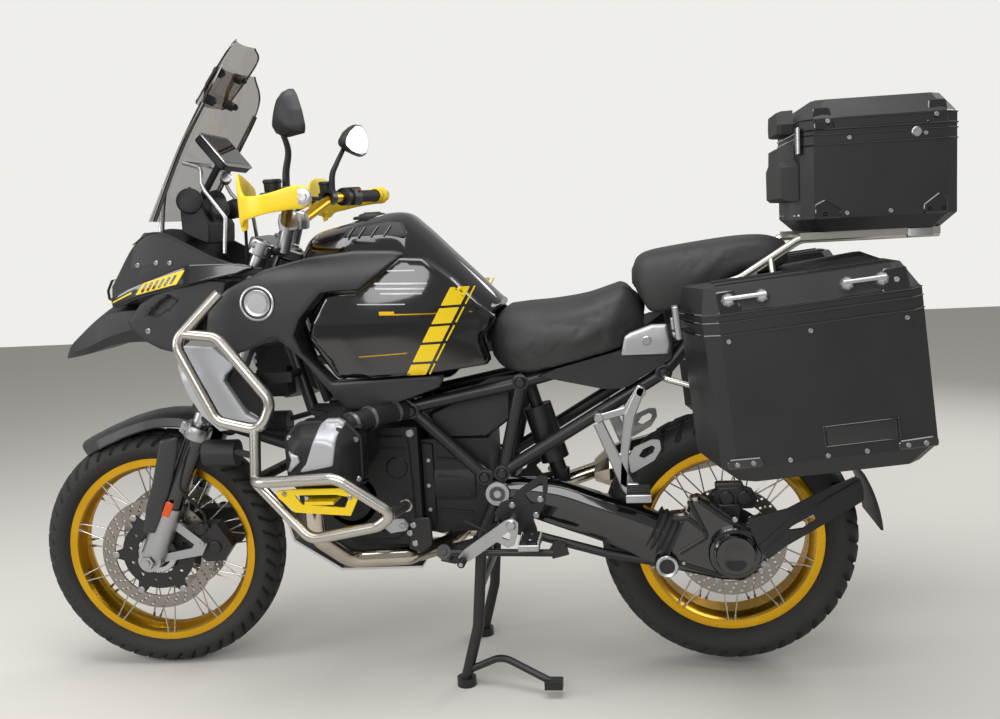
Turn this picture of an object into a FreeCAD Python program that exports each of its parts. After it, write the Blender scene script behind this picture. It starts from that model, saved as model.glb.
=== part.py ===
import FreeCAD, Part
import math
import os
import re
from types import SimpleNamespace

import Sketcher
from FreeCAD import Placement, Rotation, Vector

# An adventure motorcycle on its centre stand, with three aluminium luggage boxes.
# Lengths are millimetres and angles degrees. Every shape is drawn in the bike's own
# frame: X forward from a datum behind the front axle, Y to the rider's left, Z up from
# the floor. Each sub-part's Placement then moves it along X, so that the origin of the
# whole is the bottom centre of its box, and what steers is also turned by steer_rest.

doc = FreeCAD.newDocument("adventure_motorcycle")
sheet = doc.addObject("Spreadsheet::Sheet", "Sizes")

SIZES = (
    # chassis
    ("wheelbase", 1504, "front axle ahead of the rear axle"),
    ("front_axle_x", 844, "front axle ahead of the middle of the whole"),
    ("rear_lift", 20, "rear tyre off the floor while the centre stand carries it"),
    ("rake", 24.9, "steering axis from upright"),
    ("steering_offset", 55.5, "front axle ahead of the steering axis, measured level"),
    ("steer_rest", 4.1, "bars turned to the left at rest"),
    # wheels
    ("front_tyre_radius", 325, "19 inch tyre, outside"),
    ("front_tyre_width", 120, ""),
    ("front_flange_radius", 253, "edge of the 19 inch rim"),
    ("front_seat_radius", 241, "bead seat of the 19 inch rim"),
    ("front_rim_width", 76, "between the flanges"),
    ("rear_tyre_radius", 318, "17 inch tyre, outside"),
    ("rear_tyre_width", 170, ""),
    ("rear_flange_radius", 229, "edge of the 17 inch rim"),
    ("rear_seat_radius", 216, "bead seat of the 17 inch rim"),
    ("rear_rim_width", 114, "between the flanges"),
    ("rim_wall", 6, "thickness of a rim's flange"),
    ("rim_well", 14, "depth of a rim's drop centre"),
    ("hub_radius", 42, "barrel of a wheel hub"),
    ("hub_bore", 15.5, "room in a hub for its axle"),
    ("spoke_thick", 4.2, "square spoke, side to side"),
    ("spoke_pairs", 20, "crossed pairs of spokes on each wheel"),
    ("front_disc_radius", 152.5, ""),
    ("front_disc_y", 68, "middle of a front brake disc"),
    ("rear_disc_radius", 138, ""),
    ("rear_disc_y", 72, "middle of the rear brake disc"),
    ("disc_thick", 5, ""),
    ("disc_band", 34.5, "width of a brake disc's ring"),
    ("foot_top_z", 468, "top of a fork leg's cast foot"),
    ("axle_radius", 15, ""),
    # steering
    ("fork_spread", 105, "fork leg from the middle plane"),
    ("fork_tube_radius", 20.5, ""),
    ("fork_leg_radius", 29, ""),
    ("top_bridge_z", 1090, "height of the top bridge on the steering axis"),
    ("low_bridge_z", 692, "height of the lower bridge on the steering axis"),
    ("stem_radius", 15, "pin of the top bridge in the steering head"),
    ("bar_radius", 14, "handlebar tube"),
    ("bar_end_y", 462, "handlebar end"),
    ("grip_radius", 17.5, ""),
    # engine
    ("engine_front", 1045, ""),
    ("engine_rear", 585, ""),
    ("engine_half_width", 140, ""),
    ("engine_bottom", 362, ""),
    ("engine_top", 660, ""),
    ("cylinder_x", 940, "middle of the cylinder heads"),
    ("cylinder_z", 628, "height of the cylinder heads"),
    ("head_end_y", 378, "outer face of a head cover"),
    ("bar_tube_radius", 13, "crash bar tube"),
    ("pipe_radius", 22, "exhaust header tube"),
    # frame
    ("frame_radius", 16, "frame tube"),
    ("frame_y", 128, "frame rail from the middle plane"),
    ("stand_pivot_x", 612, "centre stand hinge"),
    ("stand_pivot_z", 345, "centre stand hinge"),
    ("side_pivot_x", 700, "side stand hinge"),
    ("side_pivot_y", 178, "side stand hinge"),
    ("side_pivot_z", 352, "side stand hinge"),
    ("side_pivot_lean", 25.265, "side stand's hinge pin from level"),
    ("stand_foot_x", 666, ""),
    ("stand_leg_y", 150, "top of a centre stand leg"),
    ("stand_foot_y", 160, "foot of the centre stand"),
    ("stand_leg_radius", 14, ""),
    ("stand_pin_radius", 9, "hinge pin of a stand"),
    ("pivot_x", 562, "swingarm hinge"),
    ("pivot_z", 489, "swingarm hinge"),
    # luggage
    ("case_wall", 2.5, "sheet of the luggage boxes"),
    ("case_inner_y", 262, "pannier's side that faces the wheel"),
    ("case_outer_y", 497, "pannier's outer side"),
    ("case_tilt", 5.7, "panniers rise to the rear"),
    ("case_corner_x", 38, "bottom front corner of a pannier"),
    ("case_corner_z", 586, "bottom front corner of a pannier"),
    ("case_length", 424, "pannier along its bottom"),
    ("case_height", 350, "pannier box without its lid"),
    ("case_lid", 56, "height of a pannier lid"),
    ("case_chamfer", 26, "corners of the luggage boxes"),
    ("case_bevel", 48, "front of a pannier's inner side, ahead of its outer side"),
    ("top_case_front", -166, ""),
    ("top_case_length", 336, ""),
    ("top_case_half_width", 200, ""),
    ("top_case_bottom", 1088, ""),
    ("top_case_height", 222, ""),
    ("top_case_lid", 70, ""),
    ("rack_tube_radius", 10, ""),
    ("carrier_radius", 8, "pannier carrier tube"),
    # fits
    ("seat_gap", 0.3, "room between pieces that rest on each other"),
    ("running_gap", 0.4, "room round a pin that turns"),
)

for row, (alias, value, note) in enumerate(SIZES, start=1):
    sheet.set(f"A{row}", alias)
    sheet.set(f"B{row}", str(value))
    sheet.setAlias(f"B{row}", alias)
    sheet.set(f"C{row}", note)
doc.recompute()

size = SimpleNamespace(**{alias: float(sheet.get(alias)) for alias, value, note in SIZES})
NAMES = re.compile(r"\b(" + "|".join(alias for alias, value, note in SIZES) + r")\b")


def linked(text):
    """An expression on the sheet, written with its plain names."""
    return NAMES.sub(r"Sizes.\1", str(text))


def number(text):
    """The value of such an expression now."""
    return float(sheet.evalExpression(linked(text)))


def bind(item, **properties):
    """Ties properties of an object to expressions on the sheet."""
    for name, text in properties.items():
        item.setExpression(name, linked(text))
    return item


SPIN = Vector(0, 1, 0)
MID = Vector(0, 0, 0)
LEFT_AND_RIGHT = (1, -1)
datum = 1504
shift = Placement(Vector(size.front_axle_x - datum, 0, 0), Rotation())
rear_axle = Vector(datum - size.wheelbase, 0, size.rear_tyre_radius + size.rear_lift)
front_axle = Vector(datum, 0, size.front_tyre_radius)
slope = math.tan(math.radians(size.rake))
steering_up = Vector(-math.sin(math.radians(size.rake)), 0, math.cos(math.radians(size.rake)))
steering_foot = front_axle - Vector(size.steering_offset, 0, 0)
steered = Placement(Vector(), Rotation(steering_up, size.steer_rest), steering_foot)

subparts = []


def on_axis(z, y=0.0):
    """The point of the steering axis at a height."""
    return Vector(steering_foot.x - (z - steering_foot.z) * slope, y, z)


def on_leg(z, side):
    """The middle of a fork leg at a height."""
    return Vector(front_axle.x - (z - front_axle.z) * slope, side * size.fork_spread, z)


def keep(item, label, place=Placement(), steers=False):
    """Makes an object the sub-part that has this label, at its place on the bike."""
    item.Label = label
    own = place.multiply(item.Placement)
    item.Placement = shift.multiply(steered.multiply(own) if steers else own)
    subparts.append(item)
    return item


def shaped(label, shapes, steers=False, place=Placement()):
    """A sub-part whose form is worked out from the sheet: one shape, or several apart."""
    item = doc.addObject("Part::Feature", label)
    item.Shape = shapes if isinstance(shapes, Part.Shape) else Part.makeCompound(shapes)
    return keep(item, label, place, steers)


def both_sides(shape):
    """A shape of the left side and its mirror image."""
    return [shape, shape.mirror(MID, SPIN)]


def joined(shapes):
    """One solid from shapes that overlap."""
    whole = shapes[0].multiFuse(shapes[1:]) if len(shapes) > 1 else shapes[0]
    whole = whole.removeSplitter()
    return whole.Solids[0] if len(whole.Solids) == 1 else whole


def tube(points, radius, bend=0.0):
    """A round tube along straight runs, with bends of one radius where they meet."""
    points = [Vector(*p) for p in points]
    edges = []
    start = points[0]
    for before, corner, after in zip(points, points[1:], points[2:]):
        back = (before - corner).normalize()
        ahead = (after - corner).normalize()
        half = back.getAngle(ahead) / 2
        room = min((before - corner).Length, (after - corner).Length) * 0.45
        cut = min(bend / math.tan(half), room)
        radius_here = cut * math.tan(half)
        if cut < radius * 0.2:
            continue
        first = corner + back * cut
        last = corner + ahead * cut
        middle = corner + (back + ahead).normalize() * (radius_here / math.sin(half) - radius_here)
        edges.append(Part.LineSegment(start, first).toShape())
        edges.append(Part.Arc(first, middle, last).toShape())
        start = last
    edges.append(Part.LineSegment(start, points[-1]).toShape())
    ring = Part.Wire([Part.Circle(points[0], points[1] - points[0], radius).toShape()])
    return Part.Wire(edges).makePipeShell([ring], True, True)


def rod(start, end, radius):
    """A straight round bar between two points."""
    start, end = Vector(*start), Vector(*end)
    return Part.makeCylinder(radius, (end - start).Length, start, end - start)


def ring_of(points):
    """A closed outline of straight sides."""
    points = [Vector(*p) for p in points]
    return Part.makePolygon(points + points[:1])


def skin(rings, ruled=True):
    """A solid through a row of outlines that have as many corners each."""
    return Part.makeLoft(rings, True, ruled)


def across(x, half):
    """A symmetric outline at one X from its right half, (y, z) from the bottom up."""
    right = [(x, -y, z) for y, z in reversed(half) if y > 0]
    return ring_of([(x, y, z) for y, z in half] + right)


def body_of(stations, ruled=True):
    """A symmetric body through stations, each an X and a half outline."""
    return skin([across(x, half) for x, half in stations], ruled)


def shrunk(points, share):
    """An outline drawn in towards its middle."""
    cx = sum(p[0] for p in points) / len(points)
    cz = sum(p[1] for p in points) / len(points)
    return [(cx + (x - cx) * share, cz + (z - cz) * share) for x, z in points]


def plate(points, y_from, y_to, share=1.0, shoulder=None):
    """A panel with an (x, z) outline, from one Y to another, drawn in by a share there. Its
    sides go straight out as far as the shoulder, where there is one."""
    rings = [ring_of([(x, y, z) for x, z in points]) for y in (y_from, shoulder) if y is not None]
    return skin(rings + [ring_of([(x, y_to, z) for x, z in shrunk(points, share)])])


def block(x, y, z):
    """A box from its lowest to its highest X, Y and Z."""
    return Part.makeBox(x[1] - x[0], y[1] - y[0], z[1] - z[0], Vector(x[0], y[0], z[0]))


def oval(centre, half_x, half_z, y, corner=0.35):
    """An eight-sided outline at one Y round a centre (x, z)."""
    cx, cz = centre
    a, b = half_x * (1 - corner), half_z * (1 - corner)
    corners = ((a, half_z), (half_x, b), (half_x, -b), (a, -half_z))
    points = [(cx + i, cz + j) for i, j in corners] + [(cx - i, cz - j) for i, j in corners]
    return ring_of([(x, y, z) for x, z in points])


def new_body(label):
    """An empty body with the origin plane that has a role."""
    body = doc.addObject("PartDesign::Body", label)
    planes = {item.Role: item for item in body.Origin.OriginFeatures}
    return body, planes


def sketch_on(body, plane, corners, label):
    """A closed sketch through corners, each (across, up) or (across, up, radius): the radius
    of an arc to the next corner, negative where the arc bulges to the right of the way there."""
    sketch = body.newObject("Sketcher::SketchObject", label)
    sketch.AttachmentSupport = [(plane, "")]
    sketch.MapMode = "FlatFace"
    count = len(corners)
    here = [Vector(number(corner[0]), number(corner[1]), 0) for corner in corners]
    arcs = []
    for index, corner in enumerate(corners):
        start, end = here[index], here[(index + 1) % count]
        if len(corner) < 3:
            sketch.addGeometry(Part.LineSegment(start, end), False)
            continue
        radius = number(corner[2])
        chord = end - start
        rise = radius - math.copysign(math.sqrt(radius ** 2 - chord.Length ** 2 / 4), radius)
        side = Vector(-chord.y, chord.x, 0).normalize()
        sketch.addGeometry(Part.Arc(start, (start + end) / 2 + side * rise, end), False)
        arcs.append((index, corner[2]))
    first = [2 if len(corner) == 3 and number(corner[2]) > 0 else 1 for corner in corners]
    rules = []
    for index in range(count):
        after = (index + 1) % count
        rules.append(Sketcher.Constraint("Coincident", index, 3 - first[index], after, first[after]))
    for index, point in enumerate(here):
        rules.append(Sketcher.Constraint("DistanceX", -1, 1, index, first[index], point.x))
        rules.append(Sketcher.Constraint("DistanceY", -1, 1, index, first[index], point.y))
    for index, text in arcs:
        rules.append(Sketcher.Constraint("Radius", index, abs(number(text))))
    sketch.addConstraint(rules)
    for index, corner in enumerate(corners):
        for step in (0, 1):
            place = count + 2 * index + step
            sketch.setExpression(f"Constraints[{place}]", linked(corner[step]))
    for order, (index, text) in enumerate(arcs):
        sketch.setExpression(f"Constraints[{3 * count + order}]", linked(f"abs({text})"))
    return sketch


def turned(label, corners):
    """A body turned round its own Y axis from corners (radius, along Y)."""
    body, planes = new_body(label)
    sketch = sketch_on(body, planes["XY_Plane"], corners, label + "_section")
    feature = body.newObject("PartDesign::Revolution", label + "_turn")
    feature.Profile = sketch
    feature.ReferenceAxis = (sketch, ["V_Axis"])
    feature.Angle = 360
    return body


def padded(label, corners, width):
    """A body with an (x, z) side outline and a width, its middle on Y = 0."""
    body, planes = new_body(label)
    sketch = sketch_on(body, planes["XZ_Plane"], corners, label + "_outline")
    feature = body.newObject("PartDesign::Pad", label + "_pad")
    feature.Profile = sketch
    feature.SideType = "Symmetric"
    bind(feature, Length=width)
    return body


# Wheels. A tyre has a crowned tread, round shoulders and beads on the rim's seats.
def tyre(label, end, crown, place, steers):
    outer = f"{end}_tyre_radius"
    half = f"{end}_tyre_width / 2"
    bead = f"{end}_rim_width / 2 - seat_gap"
    seat = f"{end}_seat_radius + seat_gap"
    edge = f"{end}_flange_radius + 3"
    corners = [
        (seat, f"-({bead})"),
        (edge, f"-({bead})", "-60"),
        (f"{outer} - 36", f"-({half})"),
        (f"{outer} - 20", f"-({half} - 5)", crown),
        (f"{outer} - 20", f"{half} - 5"),
        (f"{outer} - 36", half, "-60"),
        (edge, bead),
        (seat, bead),
    ]
    return keep(turned(label, corners), label, place, steers)


# A rim has two flanges, two bead seats and a drop centre between them.
def rim(label, end, place, steers):
    half = f"{end}_rim_width / 2"
    flange = f"{end}_flange_radius"
    seat = f"{end}_seat_radius"
    corners = [
        (flange, f"{half} + rim_wall"),
        (flange, half),
        (seat, half),
        (seat, f"{half} - 16"),
        (f"{seat} - rim_well", f"{half} - 24"),
        (f"{seat} - rim_well", f"-({half} - 24)"),
        (seat, f"-({half} - 16)"),
        (seat, f"-({half})"),
        (flange, f"-({half})"),
        (flange, f"-({half} + rim_wall)"),
        (f"{seat} - 6", f"-({half} + rim_wall)"),
        (f"{seat} - 7", f"-({half} - 14)"),
        (f"{seat} - rim_well - 6", f"-({half} - 26)"),
        (f"{seat} - rim_well - 6", f"{half} - 26"),
        (f"{seat} - 7", f"{half} - 14"),
        (f"{seat} - 6", f"{half} + rim_wall"),
    ]
    return keep(turned(label, corners), label, place, steers)


# A hub is a barrel with two flanges, and crossed spokes reach from it to the rim's edges.
def hub(label, end, flange_y, left_end, right_end, place, steers):
    seat = number(f"{end}_seat_radius")
    rim_y = number(f"{end}_rim_width / 2 - 2")
    flange_radius = size.hub_radius + 14
    spigot_radius = size.hub_radius + 15 - size.seat_gap
    profile = [
        (size.hub_bore, left_end), (spigot_radius, left_end), (spigot_radius, flange_y + 14),
        (flange_radius, flange_y + 6), (flange_radius, flange_y - 2),
        (size.hub_radius, flange_y - 8), (size.hub_radius, 8 - flange_y),
        (flange_radius, 2 - flange_y), (flange_radius, -flange_y - 6), (spigot_radius, -flange_y - 8),
        (spigot_radius, -right_end), (size.hub_bore, -right_end),
    ]
    face = Part.Face(ring_of([(radius, y, 0) for radius, y in profile]))
    pieces = [face.revolve(MID, SPIN, 360)]
    step = 360 / size.spoke_pairs
    rim_radius = seat + 6
    low, high = number(f"{end}_rim_width / 2 - 14"), number(f"{end}_rim_width / 2 + rim_wall")
    rim_section = [(seat - 7 - size.seat_gap, low), (seat - 6 - size.seat_gap, high), (seat + 30, high),
                   (seat + 30, low)]
    for pair in range(int(size.spoke_pairs)):
        for lean in LEFT_AND_RIGHT:
            side = 1 if pair % 2 else -1
            foot = math.radians(pair * step)
            tip = math.radians(pair * step + lean * 34)
            foot_y = side * (flange_y + lean * size.spoke_thick * 0.7)
            inner = Vector(math.cos(foot) * 50, foot_y, math.sin(foot) * 50)
            outer = Vector(math.cos(tip) * rim_radius, side * rim_y, math.sin(tip) * rim_radius)
            along = outer - inner
            spoke = Part.makeBox(size.spoke_thick, size.spoke_thick, along.Length)
            spoke.translate(Vector(-size.spoke_thick / 2, -size.spoke_thick / 2, 0))
            spoke.Placement = Placement(inner, Rotation(Vector(0, 0, 1), along)).multiply(spoke.Placement)
            pieces.append(spoke)
    whole = joined(pieces)
    for side in LEFT_AND_RIGHT:
        section = Part.Face(ring_of([(radius, side * y, 0) for radius, y in rim_section]))
        whole = whole.cut(section.revolve(MID, SPIN, 360))
    item = doc.addObject("Part::Feature", label)
    item.Shape = whole
    return keep(item, label, place, steers)


# A brake disc is a ring on the arms of a carrier, which is bored for the hub and open
# between the arms.
def discs(label, radius, middles, arms, place, steers):
    rings = []
    for number_of, middle in enumerate(middles):
        name = f"{label}_{number_of}"
        outer = bind(doc.addObject("Part::Cylinder", name), Radius=radius, Height="disc_thick")
        bore = bind(doc.addObject("Part::Cylinder", name + "_bore"), Radius="hub_radius + 15",
                    Height="disc_thick + 2")
        bore.Placement.Base.z = -1
        holes = [bore]
        window_at = number(f"({radius} - disc_band + hub_radius + 15) / 2")
        for arm in range(arms):
            window = bind(doc.addObject("Part::Cylinder", f"{name}_window_{arm}"), Height="disc_thick + 2",
                          Radius=f"({radius} - disc_band - hub_radius - 15) * 0.38")
            angle = math.radians(360 * (arm + 0.5) / arms)
            window.Placement.Base = Vector(window_at * math.cos(angle), window_at * math.sin(angle), -1)
            holes.append(window)
        tools = doc.addObject("Part::Compound", name + "_holes")
        tools.Links = holes
        ring = doc.addObject("Part::Cut", name + "_ring")
        ring.Base, ring.Tool = outer, tools
        ring.Placement = Placement(Vector(0, number(middle) + size.disc_thick / 2, 0),
                                   Rotation(Vector(1, 0, 0), 90))
        rings.append(ring)
    group = doc.addObject("Part::Compound", label)
    group.Links = rings
    return keep(group, label, place, steers)


drive_y = 96
front_place = Placement(front_axle, Rotation())
rear_place = Placement(rear_axle, Rotation())
tyre("front_tyre", "front", "-100", front_place, True)
rim("front_rim", "front", front_place, True)
front_hub_end = size.front_disc_y + size.disc_thick / 2 + 1
hub("front_hub", "front", 42, front_hub_end, front_hub_end, front_place, True)
discs("front_discs", "front_disc_radius", ("front_disc_y", "-front_disc_y"), 6, front_place, True)
tyre("rear_tyre", "rear", "-150", rear_place, False)
rim("rear_rim", "rear", rear_place, False)
hub("rear_hub", "rear", 54, drive_y - size.running_gap, 64, rear_place, False)
discs("rear_disc", "rear_disc_radius", ("rear_disc_y",), 5, rear_place, False)


bar_clamp = Vector(on_axis(size.top_bridge_z).x - 18, 0, size.top_bridge_z + 92)


# Fork: upper tubes under the top bridge, sliders under the lower one, cast feet at the axle.
def fork_upper():
    bridge_z = size.top_bridge_z
    axis = on_axis(bridge_z)
    tubes = [rod(on_leg(560, side), on_leg(bridge_z + 26, side),
                 size.fork_tube_radius) for side in LEFT_AND_RIGHT]
    lean = Placement(axis, Rotation(SPIN, -size.rake))
    half = [(-34, 26), (22, 62), (24, 128), (58, 131), (80, 112), (92, 60)]
    outline = half + [(x, -y) for x, y in reversed(half)]
    bridge = Part.Face(ring_of([(x, y, 0) for x, y in outline])).extrude(Vector(0, 0, 24))
    bridge.Placement = lean
    stem = rod(on_axis(bridge_z - 56), on_axis(bridge_z + 10), size.stem_radius)
    risers = []
    for side in LEFT_AND_RIGHT:
        risers.append(rod((axis.x + 8, side * 42, bridge_z + 6), (bar_clamp.x, side * 42, bar_clamp.z - 10),
                          17))
        risers.append(block((bar_clamp.x - 24, bar_clamp.x + 24), (side * 42 - 16, side * 42 + 16),
                            (bar_clamp.z - 22, bar_clamp.z + 22)))
    bar_room = rod((bar_clamp.x, -80, bar_clamp.z), (bar_clamp.x, 80, bar_clamp.z),
                   size.bar_radius + size.seat_gap)
    return joined(tubes + [bridge, stem] + risers).cut(bar_room)


def fork_lower():
    axis = on_axis(size.low_bridge_z)
    outline = [(-22, -30), (-22, 30), (24, 66), (24, 132), (78, 132), (78, -132), (24, -132), (24, -66)]
    bridge = Part.Face(ring_of([(x, y, 0) for x, y in outline])).extrude(Vector(0, 0, 26))
    bridge.Placement = Placement(axis, Rotation(SPIN, -size.rake))
    sliders = [rod(on_leg(size.foot_top_z, side), on_leg(size.low_bridge_z - 10, side), size.fork_leg_radius)
               for side in LEFT_AND_RIGHT]
    lower = joined(sliders + [bridge])
    for side in LEFT_AND_RIGHT:
        lower = lower.cut(rod(on_leg(545, side), on_leg(size.low_bridge_z + 80, side),
                              size.fork_tube_radius + 0.5))
    return lower


bracket_back = 11


def fork_feet():
    """Cast feet that hold the axle, each with an open bracket back to its caliper."""
    feet = []
    for side in LEFT_AND_RIGHT:
        low, y = on_leg(front_axle.z, side), side * size.fork_spread
        socket = rod(on_leg(front_axle.z + 5, side),
                     on_leg(size.foot_top_z, side) - steering_up * size.seat_gap,
                     size.fork_leg_radius + 4)
        boss = rod((low.x, y - side * 22, low.z), (low.x, y + side * 24, low.z), 30)
        outer = [(6, 96), (-50, 120), (-150, 34), (-134, 4), (-10, -14)]
        window = [(-34, 74), (-56, 86), (-116, 34), (-108, 24), (-40, 12)]
        bracket = plate([(low.x + x, low.z + z) for x, z in outer], y - side * bracket_back, y + side * 2)
        bracket = bracket.cut(plate([(low.x + x, low.z + z) for x, z in window], y - side * 20, y + side * 10))
        axle_room = rod((low.x, side * 200, low.z), (low.x, side * 40, low.z), size.axle_radius + size.seat_gap)
        feet.append(joined([socket, boss, bracket]).cut(axle_room))
    return feet


def front_calipers():
    grips = []
    for side in LEFT_AND_RIGHT:
        middle = side * size.front_disc_y
        grip = plate([(-76, 84), (-176, 84), (-214, 20), (-186, -18), (-140, -18), (-100, 20)],
                     middle - 16 * side,
                     middle + (size.fork_spread - bracket_back - size.seat_gap - size.front_disc_y) * side)
        slot = Part.makeCylinder(size.front_disc_radius + 6, size.disc_thick + 6,
                                 Vector(0, middle - size.disc_thick / 2 - 3, 0), SPIN)
        grip = grip.cut(slot)
        grip.translate(front_axle)
        grips.append(grip)
    return grips


shaped("fork_upper", fork_upper(), steers=True)
shaped("fork_lower", fork_lower(), steers=True)
shaped("fork_feet", fork_feet(), steers=True)
axle = bind(doc.addObject("Part::Cylinder", "front_axle"), Radius="axle_radius",
            Height="2 * (fork_spread + 34)")
keep(axle, "front_axle", Placement(front_axle + Vector(0, size.fork_spread + 34, 0),
                                   Rotation(Vector(1, 0, 0), 90)), True)
shaped("front_calipers", front_calipers(), steers=True)


# The front mudguard is a curved blade close over the tyre, with a stay to each leg.
def front_mudguard():
    inside = size.front_tyre_radius + 22
    half = size.front_tyre_width / 2 + 14
    crown = [(inside - 26, -half), (inside, -half + 26), (inside + 4, 0), (inside, half - 26),
             (inside - 26, half)]
    outer = [(radius + 4, y * 1.03) for radius, y in reversed(crown)]
    face = Part.Face(ring_of([(radius, y, 0) for radius, y in crown + outer]))
    face.rotate(MID, SPIN, -62)
    blade = face.revolve(MID, SPIN, -54)
    blade.translate(front_axle)
    return blade


shaped("front_mudguard", front_mudguard(), steers=True)

# Handlebar and what it carries, drawn straight ahead.
bar_bend = Vector(1022, 225, 1238)
bar_end = Vector(940, size.bar_end_y, 1238)


def handlebar():
    half = [(bar_clamp.x, 0, bar_clamp.z), (bar_clamp.x, 80, bar_clamp.z), tuple(bar_bend), tuple(bar_end)]
    left = tube(half, size.bar_radius, 60)
    return joined(both_sides(left))


def controls():
    along = (bar_end - bar_bend).normalize()
    pieces = []
    for side in LEFT_AND_RIGHT:
        def at(distance, forward=0.0, up=0.0):
            spot = bar_bend + along * distance
            return Vector(spot.x + forward, side * spot.y, spot.z + up)
        bore = rod(at(-40), at(400), size.bar_radius + size.seat_gap)
        grip = rod(at(124), at(242), size.grip_radius).cut(bore)
        switch = rod(at(78), at(123), 27).cut(bore)
        master = block((-26, 26), (-18, 18), (-14, 22))
        master.Placement = Placement(at(62, 44, 6), Rotation())
        clamp = rod(at(52), at(76), 24).cut(bore)
        bridge = block((8, 40), (-10, 10), (-10, 10))
        bridge.Placement = Placement(at(62), Rotation())
        lever = tube([tuple(at(60, 62, 0)), tuple(at(104, 74, 0)), tuple(at(232, 56, -4))], 6.5, 30)
        carrier = joined([clamp, bridge, master, lever]).cut(bore)
        pieces += [grip, switch, carrier]
    return pieces


# Sections of a handguard from the bar's end to its front: outer (x, y), inner (x, y), low, high.
guard_sections = (
    ((924, 478), (924, 468), 1214, 1262),
    ((1000, 484), (996, 474), 1204, 1242),
    ((1066, 446), (1058, 438), 1194, 1252),
    ((1098, 352), (1089, 347), 1188, 1290),
    ((1095, 256), (1086, 256), 1198, 1272),
)


def handguards():
    guards = []
    for side in LEFT_AND_RIGHT:
        rings = [ring_of([(x0, side * y0, low), (x1, side * y1, low), (x1, side * y1, high),
                          (x0, side * y0, high)])
                 for (x0, y0), (x1, y1), low, high in guard_sections]
        cap = rod((bar_end.x, side * (size.bar_end_y + 5), bar_end.z), (bar_end.x, side * 486, bar_end.z), 22)
        guards.append(joined([skin(rings), cap]))
    return guards


def mirrors():
    heads = []
    for side in LEFT_AND_RIGHT:
        def section(y, half_x, half_z):
            return oval((972, 1432), half_x, half_z, side * y)
        head = skin([section(215, 8, 22), section(240, 18, 42), section(300, 22, 50), section(350, 18, 42),
                     section(374, 8, 22)], False)
        stem = tube([(1028, side * 237, 1262), (1016, side * 246, 1350), (978, side * 280, 1415)], 6, 40)
        boss = rod((1017, side * 240, bar_bend.z), (1026, side * 238, 1272), 8)
        straight = (bar_bend + (bar_end - bar_bend) * 0.3, bar_bend - (bar_end - bar_bend) * 0.1)
        straight = [Vector(spot.x, side * spot.y, spot.z) for spot in straight]
        boss = boss.cut(rod(straight[0], straight[1], size.bar_radius + size.seat_gap))
        boss = max(boss.Solids, key=lambda solid: solid.CenterOfMass.z)
        heads.append(joined([head, stem, boss]))
    return heads


shaped("handlebar", handlebar(), steers=True)
shaped("controls", controls(), steers=True)
shaped("handguards", handguards(), steers=True)
shaped("mirrors", mirrors(), steers=True)


# Engine: a plain block with a gearbox, a sump and a round front cover.
def engine_block():
    x0, x1 = size.engine_rear, size.engine_front
    half, low, high = size.engine_half_width, size.engine_bottom, size.engine_top
    case = block((758, x1), (-half, half), (low, high))
    gearbox = block((x0, 760), (0.72 * -half, 0.72 * half), (low + 20, high - 40))
    sump = block((805, x1 - 60), (-95, 95), (low - 50, low + 2))
    cover = rod((x1 - 2, 0, low + 138), (x1 + 40, 0, low + 138), 105)
    bell = rod((750, 0, low + 140), (x0 + 40, 0, low + 140), 108)
    feet = [rod((860, side * 62, low - 48), (860, side * 62, 296.9), 12) for side in LEFT_AND_RIGHT]
    return joined([case, gearbox, sump, cover, bell] + feet)


def cylinder():
    centre = (size.cylinder_x, size.cylinder_z)
    root, end = size.engine_half_width + size.seat_gap, size.head_end_y
    barrel = skin([oval(centre, 72, 72, root), oval(centre, 72, 72, 262)])
    head = skin([oval(centre, 92, 92, 258), oval(centre, 92, 92, 322)])
    cover = skin([oval(centre, 84, 86, 320), oval(centre, 78, 80, end - 22), oval(centre, 54, 56, end)])
    ribs = [skin([oval(centre, 80, 79, y), oval(centre, 80, 79, y + 6)]) for y in (176, 202, 228)]
    return joined([barrel, head, cover] + ribs)


def head_guard():
    cx, cz = size.cylinder_x, size.cylinder_z
    y = size.head_end_y + size.seat_gap
    outer = plate([(cx + 98, cz - 60), (cx + 96, cz - 74), (cx + 58, cz - 110), (cx - 72, cz - 120),
                   (cx - 94, cz - 76), (cx - 60, cz - 57), (cx + 60, cz - 57)], y, y + 7)
    window = plate([(cx + 56, cz - 70), (cx + 40, cz - 92), (cx - 60, cz - 102), (cx - 72, cz - 76),
                    (cx - 40, cz - 70)],
                   y - 1, y + 8)
    tab = block((cx - 34, cx + 34), (324, y + 6), (cz - 94, cz - 86))
    return joined([outer.cut(window), tab])


# Stainless crash bars: a loop round the cylinder, a loop round the shroud, joined by a leg.
def crash_bar():
    r = size.bar_tube_radius
    y0 = size.engine_half_width + size.seat_gap
    low_loop = tube([(1064, 126, 588), (1106, 378, 586), (885, 420, 604), (764, 408, 517), (800, 402, 488),
                     (962, 392, 456), (1101, 342, 578)], r, 46)
    high_loop = tube([(1169, 300, 1022), (1280, 322, 912), (1190, 326, 724), (1084, 326, 698), (1056, 322, 765),
                      (1180, 312, 920), (1262, 318, 932)], r, 40)
    leg = rod((1100, 326, 703), (1102, 342, 590), r)
    rear_stay = rod((774, 402, 512), (790, 166, 470), r)
    rear_foot = rod((790, y0 + 32, 470), (790, y0, 470), r + 3)
    front_foot = rod((1070, 126, 588), (size.engine_front + size.seat_gap, 126, 588), r)
    return joined([low_loop, high_loop, leg, rear_stay, rear_foot, front_foot])


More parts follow.
